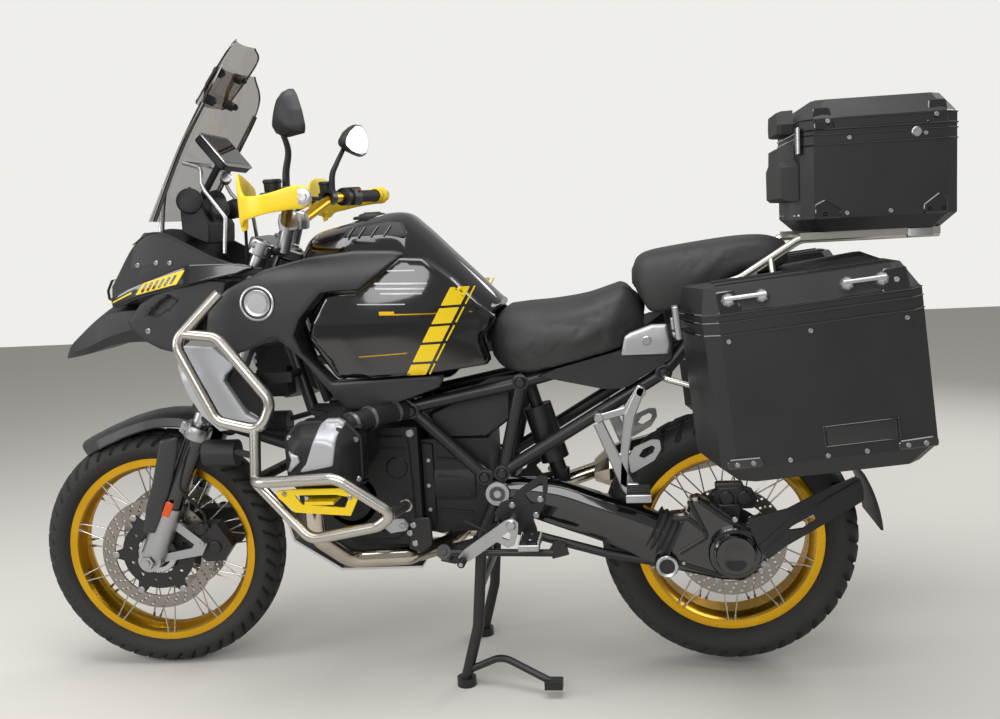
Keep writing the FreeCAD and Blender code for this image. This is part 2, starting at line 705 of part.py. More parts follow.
skid_corners = [("1122", "430"), ("1104", "366"), ("982", "288"), ("770", "292"), ("770", "298"),
                ("980", "294"),
                ("1099", "370"), ("1116", "430")]
shaped("engine_block", engine_block())
shaped("cylinders", both_sides(cylinder()))
shaped("head_guards", both_sides(head_guard()))
shaped("crash_bars", both_sides(crash_bar()))
keep(padded("skid_plate", skid_corners, "240"), "skid_plate")


# Exhaust: a header from each cylinder, joined under the gearbox, and a muffler on the right.
def exhaust():
    r = size.pipe_radius
    cz = size.cylinder_z
    left = tube([(985, 290, cz - 93), (985, 286, 430), (930, 200, 345), (800, 132, 328), (716, 40, 330),
                 (690, -84, 332)], r, 60)
    right = tube([(985, -290, cz - 93), (985, -286, 430), (930, -200, 345), (800, -132, 328), (706, -88, 330),
                  (610, -82, 336), (540, -88, 366), (440, -132, 440), (330, -146, 474)], r, 60)
    can = [(336, -146, 472, 30, 30), (296, -146, 484, 42, 56), (120, -146, 520, 46, 66),
           (-90, -144, 562, 46, 62),
           (-122, -144, 568, 32, 42)]
    rings = []
    for x, y, z, half_y, half_z in can:
        corners = [(half_y * math.cos(a),
                    half_z * math.sin(a)) for a in (math.radians(36 * k) for k in range(10))]
        rings.append(ring_of([(x, y + i, z + j) for i, j in corners]))
    return joined([left, right, skin(rings)])


shaped("exhaust", exhaust())


# Frame: rails over the engine to the steering head, side triangles and a seat subframe.
nose_x, nose_z = 1330, 1046
side_pivot = Vector(size.side_pivot_x, size.side_pivot_y, size.side_pivot_z)
side_axis = Vector(0, math.cos(math.radians(size.side_pivot_lean)),
                   math.sin(math.radians(size.side_pivot_lean)))
front_rails = (((1040, 70, 700), (1088, 56, 860)), ((780, size.frame_y, 707), (1040, 70, 700)))
top_rails = (((492, size.frame_y, 762), (780, size.frame_y, 707)),
             ((492, size.frame_y, 762), (150, size.frame_y, 846)))


def main_frame():
    r = size.frame_radius
    y = size.frame_y
    head_low, head_high = on_axis(size.top_bridge_z - 62), on_axis(size.top_bridge_z - 8)
    side_rods = []
    for side in LEFT_AND_RIGHT:
        s = side * y
        runs = (
            ((1088, side * 56, 860), (head_low.x - 4, side * 22, head_low.z + 16)),
            ((768, s, 700), (594, s, 530)),
            ((492, s, 762), (size.pivot_x, s, size.pivot_z)),
            ((size.pivot_x, s, size.pivot_z), (594, s, 530)),
            ((548, s, 540), (150, s, 775)),
            ((150, s, 846), (-60, s, 946)),
            ((150, s, 775), (40, s, 899)),
            ((size.pivot_x, s, size.pivot_z), (size.stand_pivot_x, s, size.stand_pivot_z + 30)),
        )
        side_rods += [rod(a, b, r) for a, b in runs]
        side_rods += [rod((a[0], side * a[1], a[2]), (b[0], side * b[1], b[2]), r) for a,
                      b in front_rails + top_rails]
        side_rods += [Part.makeSphere(r, Vector(*p)) for p in ((492, s, 762), (150, s, 846),
                                                               (size.pivot_x, s, size.pivot_z))]
    crossbars = ((492, 762), (150, 846), (-60, 946), (size.pivot_x, size.pivot_z))
    side_rods += [rod((x, -y, z), (x, y, z), r) for x, z in crossbars]
    lugs = [block((1000, 1030), (side * 86 - 12, side * 86 + 12),
                  (size.engine_top + size.seat_gap, size.engine_top + 40))
            for side in LEFT_AND_RIGHT]
    head = rod(head_low, head_high, 30)
    nose = [rod((head_low.x + 10, side * 15, nose_z), (nose_x - size.seat_gap, side * 15, nose_z), 9)
            for side in LEFT_AND_RIGHT]
    frame = joined(side_rods + lugs + nose + [head])
    frame = frame.cut(rod(on_axis(size.top_bridge_z - 100), on_axis(size.top_bridge_z + 40),
                          size.stem_radius + size.running_gap))
    x, z, pin_end = size.stand_pivot_x, size.stand_pivot_z, size.stand_leg_y + 16
    feet = [rod((x, side * 120, z), (x, side * pin_end, z), size.stand_pin_radius) for side in LEFT_AND_RIGHT]
    feet += [plate([(x - 22, z + 30), (x - 26, z - 6), (x - 12, z - 18), (x + 14, z - 18), (x + 28, z - 6),
                    (x + 22, z + 30)],
                   side * 116, side * (size.stand_leg_y - 18)) for side in LEFT_AND_RIGHT]
    feet.append(plate([(x, z + 30), (x + 10, z - 6), (x + 70, z - 38), (x + 106, z - 30), (x + 106, z + 2)],
                      118, 136))
    feet.append(rod(side_pivot - side_axis * 60, side_pivot + side_axis * 14, size.stand_pin_radius))
    feet.append(rod(side_pivot - side_axis * 62, side_pivot - side_axis * 14, size.stand_pin_radius + 7))
    feet += [block((568.3, 592), (122, 138), (392, 412))]
    return joined([frame] + feet)


shaped("main_frame", main_frame())


# Fuel tank under the panels, its top ribbed and its rear drawn in for the knees.
tank_stations = [
    (1037, [(0, 900), (60, 900), (96, 930), (118, 985), (104, 1045), (70, 1086), (30, 1103), (0, 1106)]),
    (1012, [(0, 862), (84, 862), (122, 910), (140, 980), (128, 1060), (88, 1118), (38, 1141), (0, 1145)]),
    (923, [(0, 802), (100, 802), (140, 860), (150, 980), (144, 1070), (106, 1138), (48, 1164), (0, 1168)]),
    (840, [(0, 785), (104, 785), (142, 850), (150, 980), (144, 1075), (108, 1148), (50, 1180), (0, 1185)]),
    (760, [(0, 780), (104, 780), (142, 845), (150, 970), (142, 1065), (106, 1138), (50, 1172), (0, 1179)]),
    (663, [(0, 784), (96, 784), (130, 835), (138, 920), (128, 990), (90, 1050), (42, 1080), (0, 1085)]),
    (594, [(0, 888), (84, 886), (108, 892), (116, 914), (108, 944), (82, 985), (38, 1011), (0, 1016)]),
    (541, [(0, 945), (56, 944), (70, 946), (74, 950), (68, 954), (48, 958), (24, 960), (0, 961)]),
]
gloss_outline = [(758, 1080), (704, 1076), (645, 1026), (586, 962), (545, 926), (556, 902), (580, 878),
                 (560, 812),
                 (651, 806), (842, 795), (934, 797), (1000, 895), (986, 936), (948, 1000), (866, 1000),
                 (811, 1037)]
wing_outline = [(1236, 985), (1180, 1026), (1130, 1048), (1085, 1068), (990, 1090), (876, 1101), (786, 1097),
                (752, 1089), (810, 1044), (862, 1006), (914, 1008), (955, 1005), (1010, 945), (1026, 908),
                (1010, 862), (944, 788), (672, 792), (690, 760), (754, 740), (796, 727), (846, 713), (917, 716),
                (966, 780), (1010, 845), (1070, 905), (1170, 868), (1236, 890)]


def fuel_tank():
    feet = [rod((x, side * 122, z - 60), (x, side * 122, z + 30), 13)
            for x, z in ((690, 780), (600, 800)) for side in LEFT_AND_RIGHT]
    tank = joined([body_of(tank_stations, False)] + feet)
    for start, end in top_rails:
        room = rod(start, end, size.frame_radius + size.seat_gap)
        tank = tank.cut(room).cut(room.mirror(MID, SPIN))
    return max(tank.Solids, key=lambda solid: solid.Volume)


shaped("fuel_tank", fuel_tank())
panel_back = 151
shaped("tank_side_panels", both_sides(plate(gloss_outline, panel_back, 226, 0.84, 200)))
shaped("tank_wings", both_sides(plate(wing_outline, panel_back, 225.7, 0.97, 212)))


# Radiators with fins, inside silver shrouds.
def shrouds():
    outline = [(1292, 897), (1220, 890), (1170, 842), (1193, 821), (1198, 806), (1149, 724), (1108, 698),
               (1219, 684), (1269, 724), (1301, 777), (1323, 842), (1312, 868)]
    panel = plate(outline, 226, 250, 0.95, 240)
    core = block((1186, 1270), (158, 226 - size.seat_gap), (700, 846))
    fins = [block((1270, 1276), (162, 222), (706 + 20 * k, 716 + 20 * k)) for k in range(7)]
    bracket = [block((1058, 1190), (159, 166), (786, 812)), rod((1070, 60, 800), (1070, 164, 800), 10)]
    carried = joined([core] + fins + bracket)
    for start, end in front_rails:
        carried = carried.cut(rod(start, end, size.frame_radius + size.seat_gap))
    return both_sides(panel), both_sides(carried)


shroud_panels, radiator_cores = shrouds()
shaped("radiator_shrouds", shroud_panels)
shaped("radiators", radiator_cores)

# Nose: a long beak under the lamp, a cowl round it, cheeks back to the wings.
beak_stations = [
    (1733, [(0, 849), (8, 849), (14, 852), (10, 860), (0, 864)]),
    (1700, [(0, 854), (34, 856), (46, 868), (36, 892), (0, 906)]),
    (1634, [(0, 868), (62, 868), (76, 886), (60, 934), (0, 958)]),
    (1560, [(0, 890), (84, 888), (98, 912), (86, 966), (0, 992)]),
    (1480, [(0, 900), (104, 896), (118, 930), (112, 972), (0, 989.7)]),
    (1402, [(0, 900), (112, 892), (128, 932), (120, 970), (0, 989.7)]),
]
cowl_stations = [
    (1540, [(0, 994), (76, 996), (102, 1010), (96, 1040), (68, 1062), (0, 1068)]),
    (1480, [(0, 990), (100, 992), (132, 1022), (132, 1076), (96, 1130), (0, 1144)]),
    (1436, [(0, 990), (118, 994), (146, 1028), (148, 1086), (112, 1160), (0, 1178)]),
    (1375, [(0, 1002), (150, 1004), (160, 1024), (160, 1094), (132, 1156), (0, 1176)]),
    (1330, [(0, 1018), (150, 1012), (160, 1030), (160, 1090), (136, 1140), (0, 1160)]),
]
cheek_outline = [(1480, 952), (1440, 996), (1373, 1030), (1314, 1040), (1248, 1050), (1200, 1042), (1210, 1014),
                 (1245, 988), (1287, 961), (1321, 896), (1351, 873), (1392, 882), (1436, 903), (1470, 932)]
shaped("beak", body_of(beak_stations))
shaped("front_cowl", body_of(cowl_stations))
shaped("cheek_panels", both_sides(plate(cheek_outline, 160.3, 184, 0.94, 176)))


def headlight():
    """The lens stands on the cowl's front, a little smaller all round."""
    lens_back = cowl_stations[0][0] + size.seat_gap
    return skin([across(lens_back, [(0, 1002), (68, 1003), (90, 1014), (84, 1034), (58, 1052), (0, 1058)]),
                 across(lens_back + 20, [(0, 1006), (58, 1007), (76, 1016), (72, 1030), (50, 1044),
                                         (0, 1050)])])


def aux_lamps():
    lamp = rod((1200, 196, 620), (1284, 196, 620), 33)
    bar = rod((1100, 326, 703), (1102, 342, 590), size.bar_tube_radius + size.seat_gap)
    stay = rod((1210, 200, 625), (1101, 335, 640), 8).cut(bar)
    stay = max(stay.Solids, key=lambda solid: solid.Volume)
    return both_sides(joined([lamp, stay]))


shaped("headlight", headlight())
shaped("aux_lamps", aux_lamps())


# The screen is a bowed sheet with a smaller sheet clipped in front of its top.
def bowed(x, z, half, depth, thick):
    """A closed outline at one height: two arcs bowed forward, a sheet's thickness apart."""
    front = Part.Arc(Vector(x - depth, -half, z), Vector(x, 0, z), Vector(x - depth, half, z)).toShape()
    back = Part.Arc(Vector(x - depth - thick, half, z), Vector(x - thick, 0, z),
                    Vector(x - depth - thick, -half, z)).toShape()
    ends = [Part.LineSegment(Vector(x - depth, side * half, z),
                             Vector(x - depth - thick, side * half, z)).toShape()
            for side in LEFT_AND_RIGHT]
    return Part.Wire(Part.sortEdges([front, back] + ends)[0])


main_screen = ((1452, 1200, 150, 66), (1352, 1370, 172, 64), (1268, 1500, 165, 60), (1222, 1568, 110, 30))
upper_screen = ((1296, 1486, 90, 20), (1206, 1600, 100, 26), (1180, 1632, 70, 14))


def sheet(rows, thick, ahead=0.0):
    """A screen through rows (x, z, half width, depth); ahead moves its front face forward."""
    return skin([bowed(x + ahead, z, half, depth, thick + ahead) for x, z, half, depth in rows])


def screens():
    main = sheet(main_screen, 5)
    clips = [rod((1276, side * 58, 1500), (1238, side * 58, 1486), 6) for side in LEFT_AND_RIGHT]
    upper = joined([sheet(upper_screen, 4)] + clips).cut(sheet(main_screen, 5 + size.seat_gap, size.seat_gap))
    upper = max(upper.Solids, key=lambda solid: solid.Volume)
    return [main, upper]


def screen_stays():
    """A stay on each side from the top of the cowl to the back of the main screen."""
    lowered = body_of(cowl_stations)
    lowered.translate(Vector(0, 0, size.seat_gap))
    stays = []
    for side in LEFT_AND_RIGHT:
        stay = rod((1408, side * 70, 1140), (1384, side * 70, 1330), 8)
        stay = stay.cut(lowered).cut(sheet(main_screen, 5 + size.seat_gap, 60))
        stays.append(max(stay.Solids, key=lambda solid: solid.Volume))
    return stays


def display():
    case = block((-12, 12), (-88, 88), (-52, 52))
    case.Placement = Placement(Vector(1246, 0, 1362), Rotation(SPIN, -24))
    stay = tube([(1258, 0, 1340), (1345, 0, 1216), (1345, 0, 1169)], 9, 20)
    return joined([case, stay])


shaped("windscreen", screens())
shaped("screen_stays", screen_stays())
shaped("display", display())

# Seats: plain closed solids of the right size and place.
rider_stations = [
    (572, [(0, 822), (50, 818), (72, 828), (78, 850), (58, 874), (0, 884)]),
    (542, [(0, 796), (92, 794), (118, 814), (122, 862), (88, 918), (0, 934)]),
    (487, [(0, 786), (134, 784), (156, 804), (158, 866), (120, 928), (0, 944)]),
    (410, [(0, 802), (146, 798.7), (172, 806), (172, 880), (134, 934), (0, 948)]),
    (330, [(0, 822), (150, 818.6), (176, 826), (174, 895), (138, 946), (0, 958)]),
    (265, [(0, 838), (146, 834.4), (166, 842), (164, 915), (128, 966), (0, 976)]),
    (232, [(0, 846), (132, 843.2), (148, 858), (148, 922), (116, 974), (0, 984)]),
    (206, [(0, 853), (116, 860), (132, 874), (130, 912), (100, 944), (0, 951)]),
    (188, [(0, 862), (100, 872), (112, 880), (110, 902), (86, 914), (0, 918)]),
]
pillion_stations = [
    (222, [(0, 986), (70, 986), (74, 984), (90, 992), (90, 1004), (68, 1014), (0, 1016)]),
    (200, [(0, 975), (98, 975), (102, 952), (120, 952), (126, 1000), (98, 1036), (0, 1044)]),
    (166, [(0, 968), (112, 968), (115, 922), (134, 924), (142, 996), (112, 1046), (0, 1058)]),
    (84, [(0, 971.7), (112, 971.7), (115, 938), (140, 942), (148, 1006), (120, 1056), (0, 1070)]),
    (-29, [(0, 992), (112, 992), (116, 1000), (140, 1006), (144, 1030), (118, 1070), (0, 1082)]),
    (-100, [(0, 1003), (112, 1008), (116, 1012), (132, 1020), (132, 1046), (106, 1074), (0, 1082)]),
    (-150, [(0, 1012), (90, 1018), (94, 1022), (110, 1030), (110, 1048), (90, 1066), (0, 1072)]),
]
shaped("rider_seat", body_of(rider_stations))
shaped("pillion_seat", body_of(pillion_stations))


# The air box stands on the gearbox under the seat, and covers close the sides below the seat.
airbox_outline = [(736, 620.3), (736, 684), (600, 744), (520, 750), (524, 668), (590, 620.3)]
side_cover_outline = [(452, 777), (410, 794), (330, 814), (265, 830), (206, 848), (180, 864), (140, 893),
                      (122, 888),
                      (128, 808), (196, 770), (248, 740), (300, 742)]
airbox_half = 98
cover_back = size.frame_y + size.frame_radius + size.seat_gap
shaped("airbox", joined([plate(airbox_outline, -airbox_half + 12, airbox_half - 12)] +
                        both_sides(plate(airbox_outline, airbox_half - 13, airbox_half, 0.9))))
shaped("side_covers", both_sides(plate(side_cover_outline, cover_back, cover_back + 8, 0.97)))


# Rear: grab rails that become the luggage rack, with a loop on each side for a pannier.
def luggage_rack():
    r = size.rack_tube_radius
    top = size.top_case_bottom - size.seat_gap
    rail = tube([(60, 168, 965), (-30, 168, 992), (-168, 150, top - r - 3), (-470, 150, top - r - 3)], r, 50)
    pad = block((-470, -166), (136, 164), (top - r - 6, top))
    ties = [block((x - 14, x + 14), (-150, 150), (top - 16, top - 8)) for x in (-200, -320, -455)]
    frame_top = 946 + size.frame_radius + size.seat_gap
    posts = [rod((-58, side * size.frame_y, frame_top), (-58, side * size.frame_y, 992),
                 9) for side in LEFT_AND_RIGHT]
    feet = [block((-68, -48), sorted((side * 122, side * 172)), (978, 992)) for side in LEFT_AND_RIGHT]
    feet += [block((-68, -48), sorted((side * 152, side * 172)), (980, 1006)) for side in LEFT_AND_RIGHT]
    return joined(both_sides(rail) + both_sides(pad) + ties + posts + feet + both_sides(carrier()))


def carrier():
    y = size.case_inner_y - size.seat_gap - size.carrier_radius
    loop = tube([(90, y, 900), (60, y, 640), (-290, y, 676), (-262, y, 940), (88, y, 904)], size.carrier_radius,
                40)
    high = rod((-100, y, 925), (-100, 160, 1034), 7)
    frame_side = size.frame_y + size.frame_radius + size.seat_gap
    low = tube([(150, frame_side, 775), (150, y - 16, 775), (66, y, 752)], 7, 16)
    return joined([loop, high, low])


tail_stations = [
    (140, [(0, 880), (100, 880), (108, 920), (98, 962), (0, 962)]),
    (-40, [(0, 954), (100, 954), (106, 980), (98, 990), (0, 992)]),
    (-160, [(0, 950), (96, 952), (100, 980), (90, 1006), (0, 1008)]),
    (-330, [(0, 930), (90, 940), (96, 990), (84, 1030), (0, 1034)]),
    (-372, [(0, 960), (70, 962), (74, 990), (66, 1014), (0, 1016)]),
]


def tail_unit():
    fairing = body_of(tail_stations)
    room = size.frame_radius + size.seat_gap
    rail_room = [rod((150, side * size.frame_y, 846), (-60, side * size.frame_y, 946),
                     room) for side in LEFT_AND_RIGHT]
    cross = rod((-60, -size.frame_y, 946), (-60, size.frame_y, 946), room)
    for room in rail_room + [cross]:
        fairing = fairing.cut(room)
    lamp = block((-392, -372.3), (-62, 62), (966, 1010))
    fairing = max(fairing.Solids, key=lambda solid: solid.Volume)
    lowered = fairing.copy()
    lowered.translate(Vector(0, 0, -size.seat_gap))
    holder = plate([(-345, 968), (-361, 968), (-430, 760), (-424, 758)], -60, 60).cut(lowered)
    return [fairing, lamp, min(holder.Solids, key=lambda solid: solid.CenterOfMass.z)]


shaped("luggage_rack", luggage_rack())
shaped("tail_unit", tail_unit())


# A shaft-drive swingarm on the left, with its bevel box round the rear axle.
def arm_at(share):
    """X on the swingarm, by its share of the way from the rear axle to the pivot."""
    return rear_axle.x + (size.pivot_x - rear_axle.x) * share


def swingarm():
    stations = [(0.954, 118, 484, 28, 38), (0.83, 122, 474, 29, 44), (0.68, 127, 443, 31, 52),
                (0.543, 130, 408, 33, 56),
                (0.285, 132, 352, 35, 60), (0.071, 132, 340, 35.6, 62)]
    rings = []
    for share, y, z, half_y, half_z in stations:
        corners = [(half_y * math.cos(a),
                    half_z * math.sin(a)) for a in (math.radians(30 * k + 15) for k in range(12))]
        rings.append(ring_of([(arm_at(share), y + i, z + j) for i, j in corners]))
    arm = skin(rings, False)
    x, z = rear_axle.x, rear_axle.z
    drive = rod((x, drive_y, z), (x, 168, z), 84)
    cap = rod((x, 168, z), (x, 180, z), 50)
    shock_x = arm_at(0.726)
    lug = block((shock_x - 16, shock_x + 16), (30, 110), (462, 492))
    strut_x = arm_at(0.267)
    strut = rod((strut_x, 132, 276), (556, 132, 402), 10)
    eyes = [rod((556, 120, 402), (556, 144, 402), 12),
            block((strut_x - 12, strut_x + 12), (124, 140), (268, 304))]
    axle_stub = rod((x, -70, z), (x, 98, z), size.axle_radius)
    pivot = rod((size.pivot_x, -104, size.pivot_z), (size.pivot_x, 104, size.pivot_z), 21.5)
    link = block((500, size.pivot_x), (92, 104), (size.pivot_z - 20, size.pivot_z + 20))
    room = rod((size.pivot_x, -150, size.pivot_z), (size.pivot_x, 150, size.pivot_z),
               size.frame_radius + size.running_gap)
    return joined([arm, drive, cap, lug, strut, axle_stub, pivot, link] + eyes).cut(room)


def rear_shock():
    """A damper in its spring, from the lug on the swingarm up to the frame."""
    foot, top = Vector(arm_at(0.726), 50, 492.4), Vector(480, 50, 740)
    along = (top - foot).normalize()
    return joined([rod(foot, foot + Vector(0, 0, 36), 18), rod(foot + along * 16, foot + along * 72, 20),
                   rod(foot + along * 62, foot + along * 206, 36), rod(foot + along * 196, top, 16)])


def rear_caliper():
    grip = plate([(-20, 100), (-26, 160), (46, 162), (62, 104), (30, 92)], 60, 94)
    slot = Part.makeCylinder(size.rear_disc_radius + 6, size.disc_thick + 6,
                             Vector(0, size.rear_disc_y - size.disc_thick / 2 - 3, 0), SPIN)
    bracket = plate([(-22, 64), (-22, 112), (48, 112), (44, 66)], 84, drive_y - size.seat_gap)
    grip = joined([grip.cut(slot), bracket])
    grip.translate(rear_axle)
    return grip


def splash_guard():
    arm = [(-54, 376), (-66, 352), (-108, 346), (-206, 376), (-336, 470), (-336, 500), (-304, 508), (-200, 471),
           (-84, 408)]
    left = plate(arm, 168.3, 178)
    flap = block((-352, -332), (-90, 178), (360, 500))
    guard = joined([left, flap])
    guard.translate(Vector(rear_axle.x, 0, 0))
    return guard


shaped("swingarm", swingarm())
shaped("rear_shock", rear_shock())
shaped("rear_caliper", rear_caliper())
shaped("splash_guard", splash_guard())


# Footrests and pedals.
def footrests():
    y = size.frame_y + size.frame_radius + size.seat_gap
    hanger = plate([(560, 470), (520, 440), (470, 400), (470, 380), (500, 376), (580, 440)], y, y + 10)
    peg = block((456, 506), (y + 8, 262), (376, 396))
    rider = joined([hanger, peg])
    front_arm = plate([(322, 682), (296, 694), (226, 512), (244, 504)], 196, 208)
    rear_arm = plate([(194, 756), (220, 752), (240, 506), (224, 506)], 196, 208)
    foot = block((188, 250), (196, 300), (500, 520))
    bosses = [rod((x, y, z), (x, 200, z), 11) for x, z in ((306, 681), (206, 741))]
    passenger = joined([front_arm, rear_arm, foot] + bosses)
    return both_sides(rider) + both_sides(passenger)


def foot_controls():
    y = 206
    lever = plate([(538, 436), (520, 434), (518, 416), (640, 330), (658, 332), (656, 348)], y, y + 8)
    toe = rod((648, y + 4, 340), (648, y + 38, 340), 8)
    shaft = rod((528, size.frame_y + size.frame_radius + 11, 426), (528, y + 8, 426), 8)
    return both_sides(joined([lever, toe, shaft]))


shaped("footrests", footrests())
shaped("foot_controls", foot_controls())


# The front suspension arm reaches from the engine to the ball joint on the steering axis.
def front_arm():
    ball = on_axis(size.low_bridge_z - 44)
    root = size.engine_front + size.seat_gap
    rods_out = [rod((root + 24, side * 84, 600), tuple(ball - Vector(8, 0, 0)), 15) for side in LEFT_AND_RIGHT]
    feet = [rod((root, side * 84, 600), (root + 30, side * 84, 600), 17) for side in LEFT_AND_RIGHT]
    return joined(rods_out + feet + [Part.makeSphere(24, ball)])


shaped("front_arm", front_arm())


# Stands. The centre stand's legs straddle the frame and carry the bike on two round feet.
def centre_stand():
    x0, z0, x1, y = size.stand_pivot_x, size.stand_pivot_z, size.stand_foot_x, size.stand_leg_y
    room = size.stand_pin_radius + size.running_gap
    pieces = []
    for side in LEFT_AND_RIGHT:
        s = side * y
        eye = rod((x0, s - 10, z0), (x0, s + 10, z0), size.stand_pin_radius + 9)
        f = side * size.stand_foot_y
        leg = tube([(x0, s, z0), (x0 + 18, (s + f) / 2, 150), (x1, f, 20)], size.stand_leg_radius, 60)
        foot = Part.makeCylinder(24, 22, Vector(x1, f, 0))
        pieces += [eye, leg, foot]
    cross = rod((x0 + 10, -y, 250), (x0 + 10, y, 250), 12)
    f = size.stand_foot_y
    tang = tube([(x1 - 10, f, 40), (570, f + 20, 84), (440, f + 60, 34)], 9, 60)
    pad = block((418, 462), (f + 46, f + 80), (24, 44))
    stand = joined(pieces + [cross, tang, pad])
    return stand.cut(rod((x0, -y - 60, z0), (x0, y + 60, z0), room))


def side_stand():
    x, y, z = side_pivot
    leg = rod((x, y, z), (430, y, 347), 9)
    foot = plate([(440, 356), (432, 334), (392, 344), (400, 372), (424, 380)], y - 6, y + 6)
    eye = rod(side_pivot - side_axis * 9, side_pivot + side_axis * 9, 18)
    room = rod(side_pivot - side_axis * 30, side_pivot + side_axis * 30,
               size.stand_pin_radius + size.running_gap)
    return joined([leg, foot, eye]).cut(room)


shaped("centre_stand", centre_stand())
shaped("side_stand", side_stand())


# Luggage boxes are folded sheet: a box open at the top and a lid that drops over its rim.
def tray(outlines, wall, floor_at_low):
    """A hollow through like outlines from low to high: the wall all round, one end closed."""
    def inset(outline):
        cx = sum(p[0] for p in outline) / len(outline)
        cy = sum(p[1] for p in outline) / len(outline)
        return [(x + math.copysign(wall, cx - x), y + math.copysign(wall, cy - y), z) for x, y, z in outline]
    outer = skin([ring_of(outline) for outline in outlines])
    inner = [inset(outline) for outline in outlines]
    if floor_at_low:
        inner = [[(x, y, z + wall) for x, y, z in outline] for outline in inner]
    else:
        first = [(x, y, z - wall) for x, y, z in inner[0]]
        inner = [first] + [[(x, y, z - wall) for x, y, z in outline] for outline in inner[1:]]
    return outer.cut(skin([ring_of(outline) for outline in inner]))


def footprint(x0, x1, y0, y1, bevel, z):
    """Chamfered corners at a height: the inner side reaches further forward by the bevel."""
    c = size.case_chamfer
    lean = bevel * c / (y1 - y0)
    return [(x0 + c, y0, z), (x1 + bevel - c, y0, z), (x1 + bevel - lean, y0 + c, z), (x1 + lean, y1 - c, z),
            (x1 - c, y1, z), (x0 + c, y1, z), (x0, y1 - c, z), (x0, y0 + c, z)]


def pannier_shapes():
    """Box and lid drawn level with the bottom front corner of the outer side at the origin."""
    y0, y1 = size.case_inner_y, size.case_outer_y
    length, height, lid = size.case_length, size.case_height, size.case_lid
    in_x, in_y, up = 34, 24, 36
    bottom = footprint(-length + in_x, -in_x, y0, y1 - in_y, size.case_bevel, 0)
    low = footprint(-length, 0, y0, y1, size.case_bevel, up)
    high = footprint(-length, 0, y0, y1, size.case_bevel, height)
    box = tray([bottom, low, high], size.case_wall, True)
    rim_z = height + size.seat_gap
    lid_low = footprint(-length, 0, y0, y1, size.case_bevel, rim_z)
    lid_high = footprint(-length + 30, -12, y0 + 14, y1 - lid_lean, size.case_bevel, rim_z + lid)
    cover = tray([lid_low, lid_high], size.case_wall, False)
    return box, cover


def lid_handles():
    """Two lashing handles on the sloping outer side of a pannier's lid, each a bar on two feet."""
    slope = Vector(0, size.case_lid, lid_lean).normalize()
    middle = Vector(0, size.case_outer_y - lid_lean / 2, size.case_height + size.seat_gap + size.case_lid / 2)
    handles = []
    for front in (-42, -273):
        ends = []
        for x in (front - 8, front - 74):
            foot = rod((x, 0, 0), Vector(x, 0, 0) + slope * 8, 12)
            foot.translate(middle + slope * size.seat_gap)
            ends.append(foot)
        bar = rod(middle + Vector(front, 0, 0) + slope * 11, middle + Vector(front - 82, 0, 0) + slope * 11, 5)
        handles.append(joined(ends + [bar]))
    return handles


lid_lean = 26
pannier_box, pannier_lid = pannier_shapes()
handles = lid_handles()
pannier_place = Placement(Vector(size.case_corner_x, 0, size.case_corner_z), Rotation(SPIN, size.case_tilt))
for side_name, shapes in (
    ("left", [pannier_box, pannier_lid, handles]),
    ("right", [pannier_box.mirror(MID, SPIN), pannier_lid.mirror(MID, SPIN),
               [handle.mirror(MID, SPIN) for handle in handles]]),
):
    for label, shape in zip(("pannier_box", "pannier_lid", "lid_handles"), shapes):
        shaped(f"{label}_{side_name}", shape, place=pannier_place)


def top_case():
    x1, x0 = size.top_case_front, size.top_case_front - size.top_case_length
    y = size.top_case_half_width
    z0, z1 = size.top_case_bottom, size.top_case_bottom + size.top_case_height
    bottom = footprint(x0 + 30, x1 - 30, -y + 22, y - 22, 0, z0)
    box = tray([bottom, footprint(x0, x1, -y, y, 0, z0 + 30), footprint(x0, x1, -y, y, 0, z1)], size.case_wall,
               True)
    z1 += size.seat_gap
    lid = tray([footprint(x0, x1, -y, y, 0, z1), footprint(x0, x1, -y, y, 0, z1 + 26),
                footprint(x0 + 30, x1 - 30, -y + 30, y - 30, 0, z1 + size.top_case_lid)], size.case_wall, False)
    return box, lid


def backrest_pad(outline):
    """A pad with a (y, z) outline on the front of the top box, rounded off forward."""
    x = size.top_case_front + size.seat_gap
    rings = [ring_of([(at, y, z) for y, z in shrunk(outline, share)])
             for at, share in ((x, 1), (x + 26, 0.98), (x + 36, 0.88))]
    return skin(rings)


top_box, top_lid = top_case()
shaped("top_box", top_box)
shaped("top_box_lid", top_lid)
shaped("backrest_low", backrest_pad([(-150, 1160), (150, 1160), (154, 1238), (98, 1254), (90, 1290),
                                     (-90, 1290),
                                     (-98, 1254), (-154, 1238)]))
lid_band = size.top_case_bottom + size.top_case_height + 6
shaped("backrest_high", backrest_pad([(-84, lid_band), (84, lid_band), (92, lid_band + 22), (80, lid_band + 54),
                                      (-80, lid_band + 54), (-92, lid_band + 22)]))

doc.recompute()
for item in doc.Objects:
    broken = {"Invalid", "Error"} & set(item.State)
    if broken:
        raise RuntimeError(f"{item.Label} did not build: {sorted(broken)}")
for item in subparts:
    if item.Shape.isNull() or not item.Shape.isValid():
        raise RuntimeError(f"{item.Label} has no sound shape")

os.makedirs("parts", exist_ok=True)
for item in subparts:
    item.Shape.exportStep(f"parts/{item.Label}.step")
    print(item.Label, len(item.Shape.Solids), "solids", round(item.Shape.Volume / 1000), "cm3")
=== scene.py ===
"""An adventure motorcycle on its centre stand, dressed in its finishes.

Lengths in this file are millimetres in the machine's own frame: X forward from the rear
axle, Y to the rider's left, Z up from the floor. What steers is drawn straight ahead and
turned with the fork at the end, by the function that makes each mesh.
"""
import itertools
import math

import bmesh
import bpy
import numpy as np
from mathutils import Matrix, Vector
from mathutils.geometry import delaunay_2d_cdt


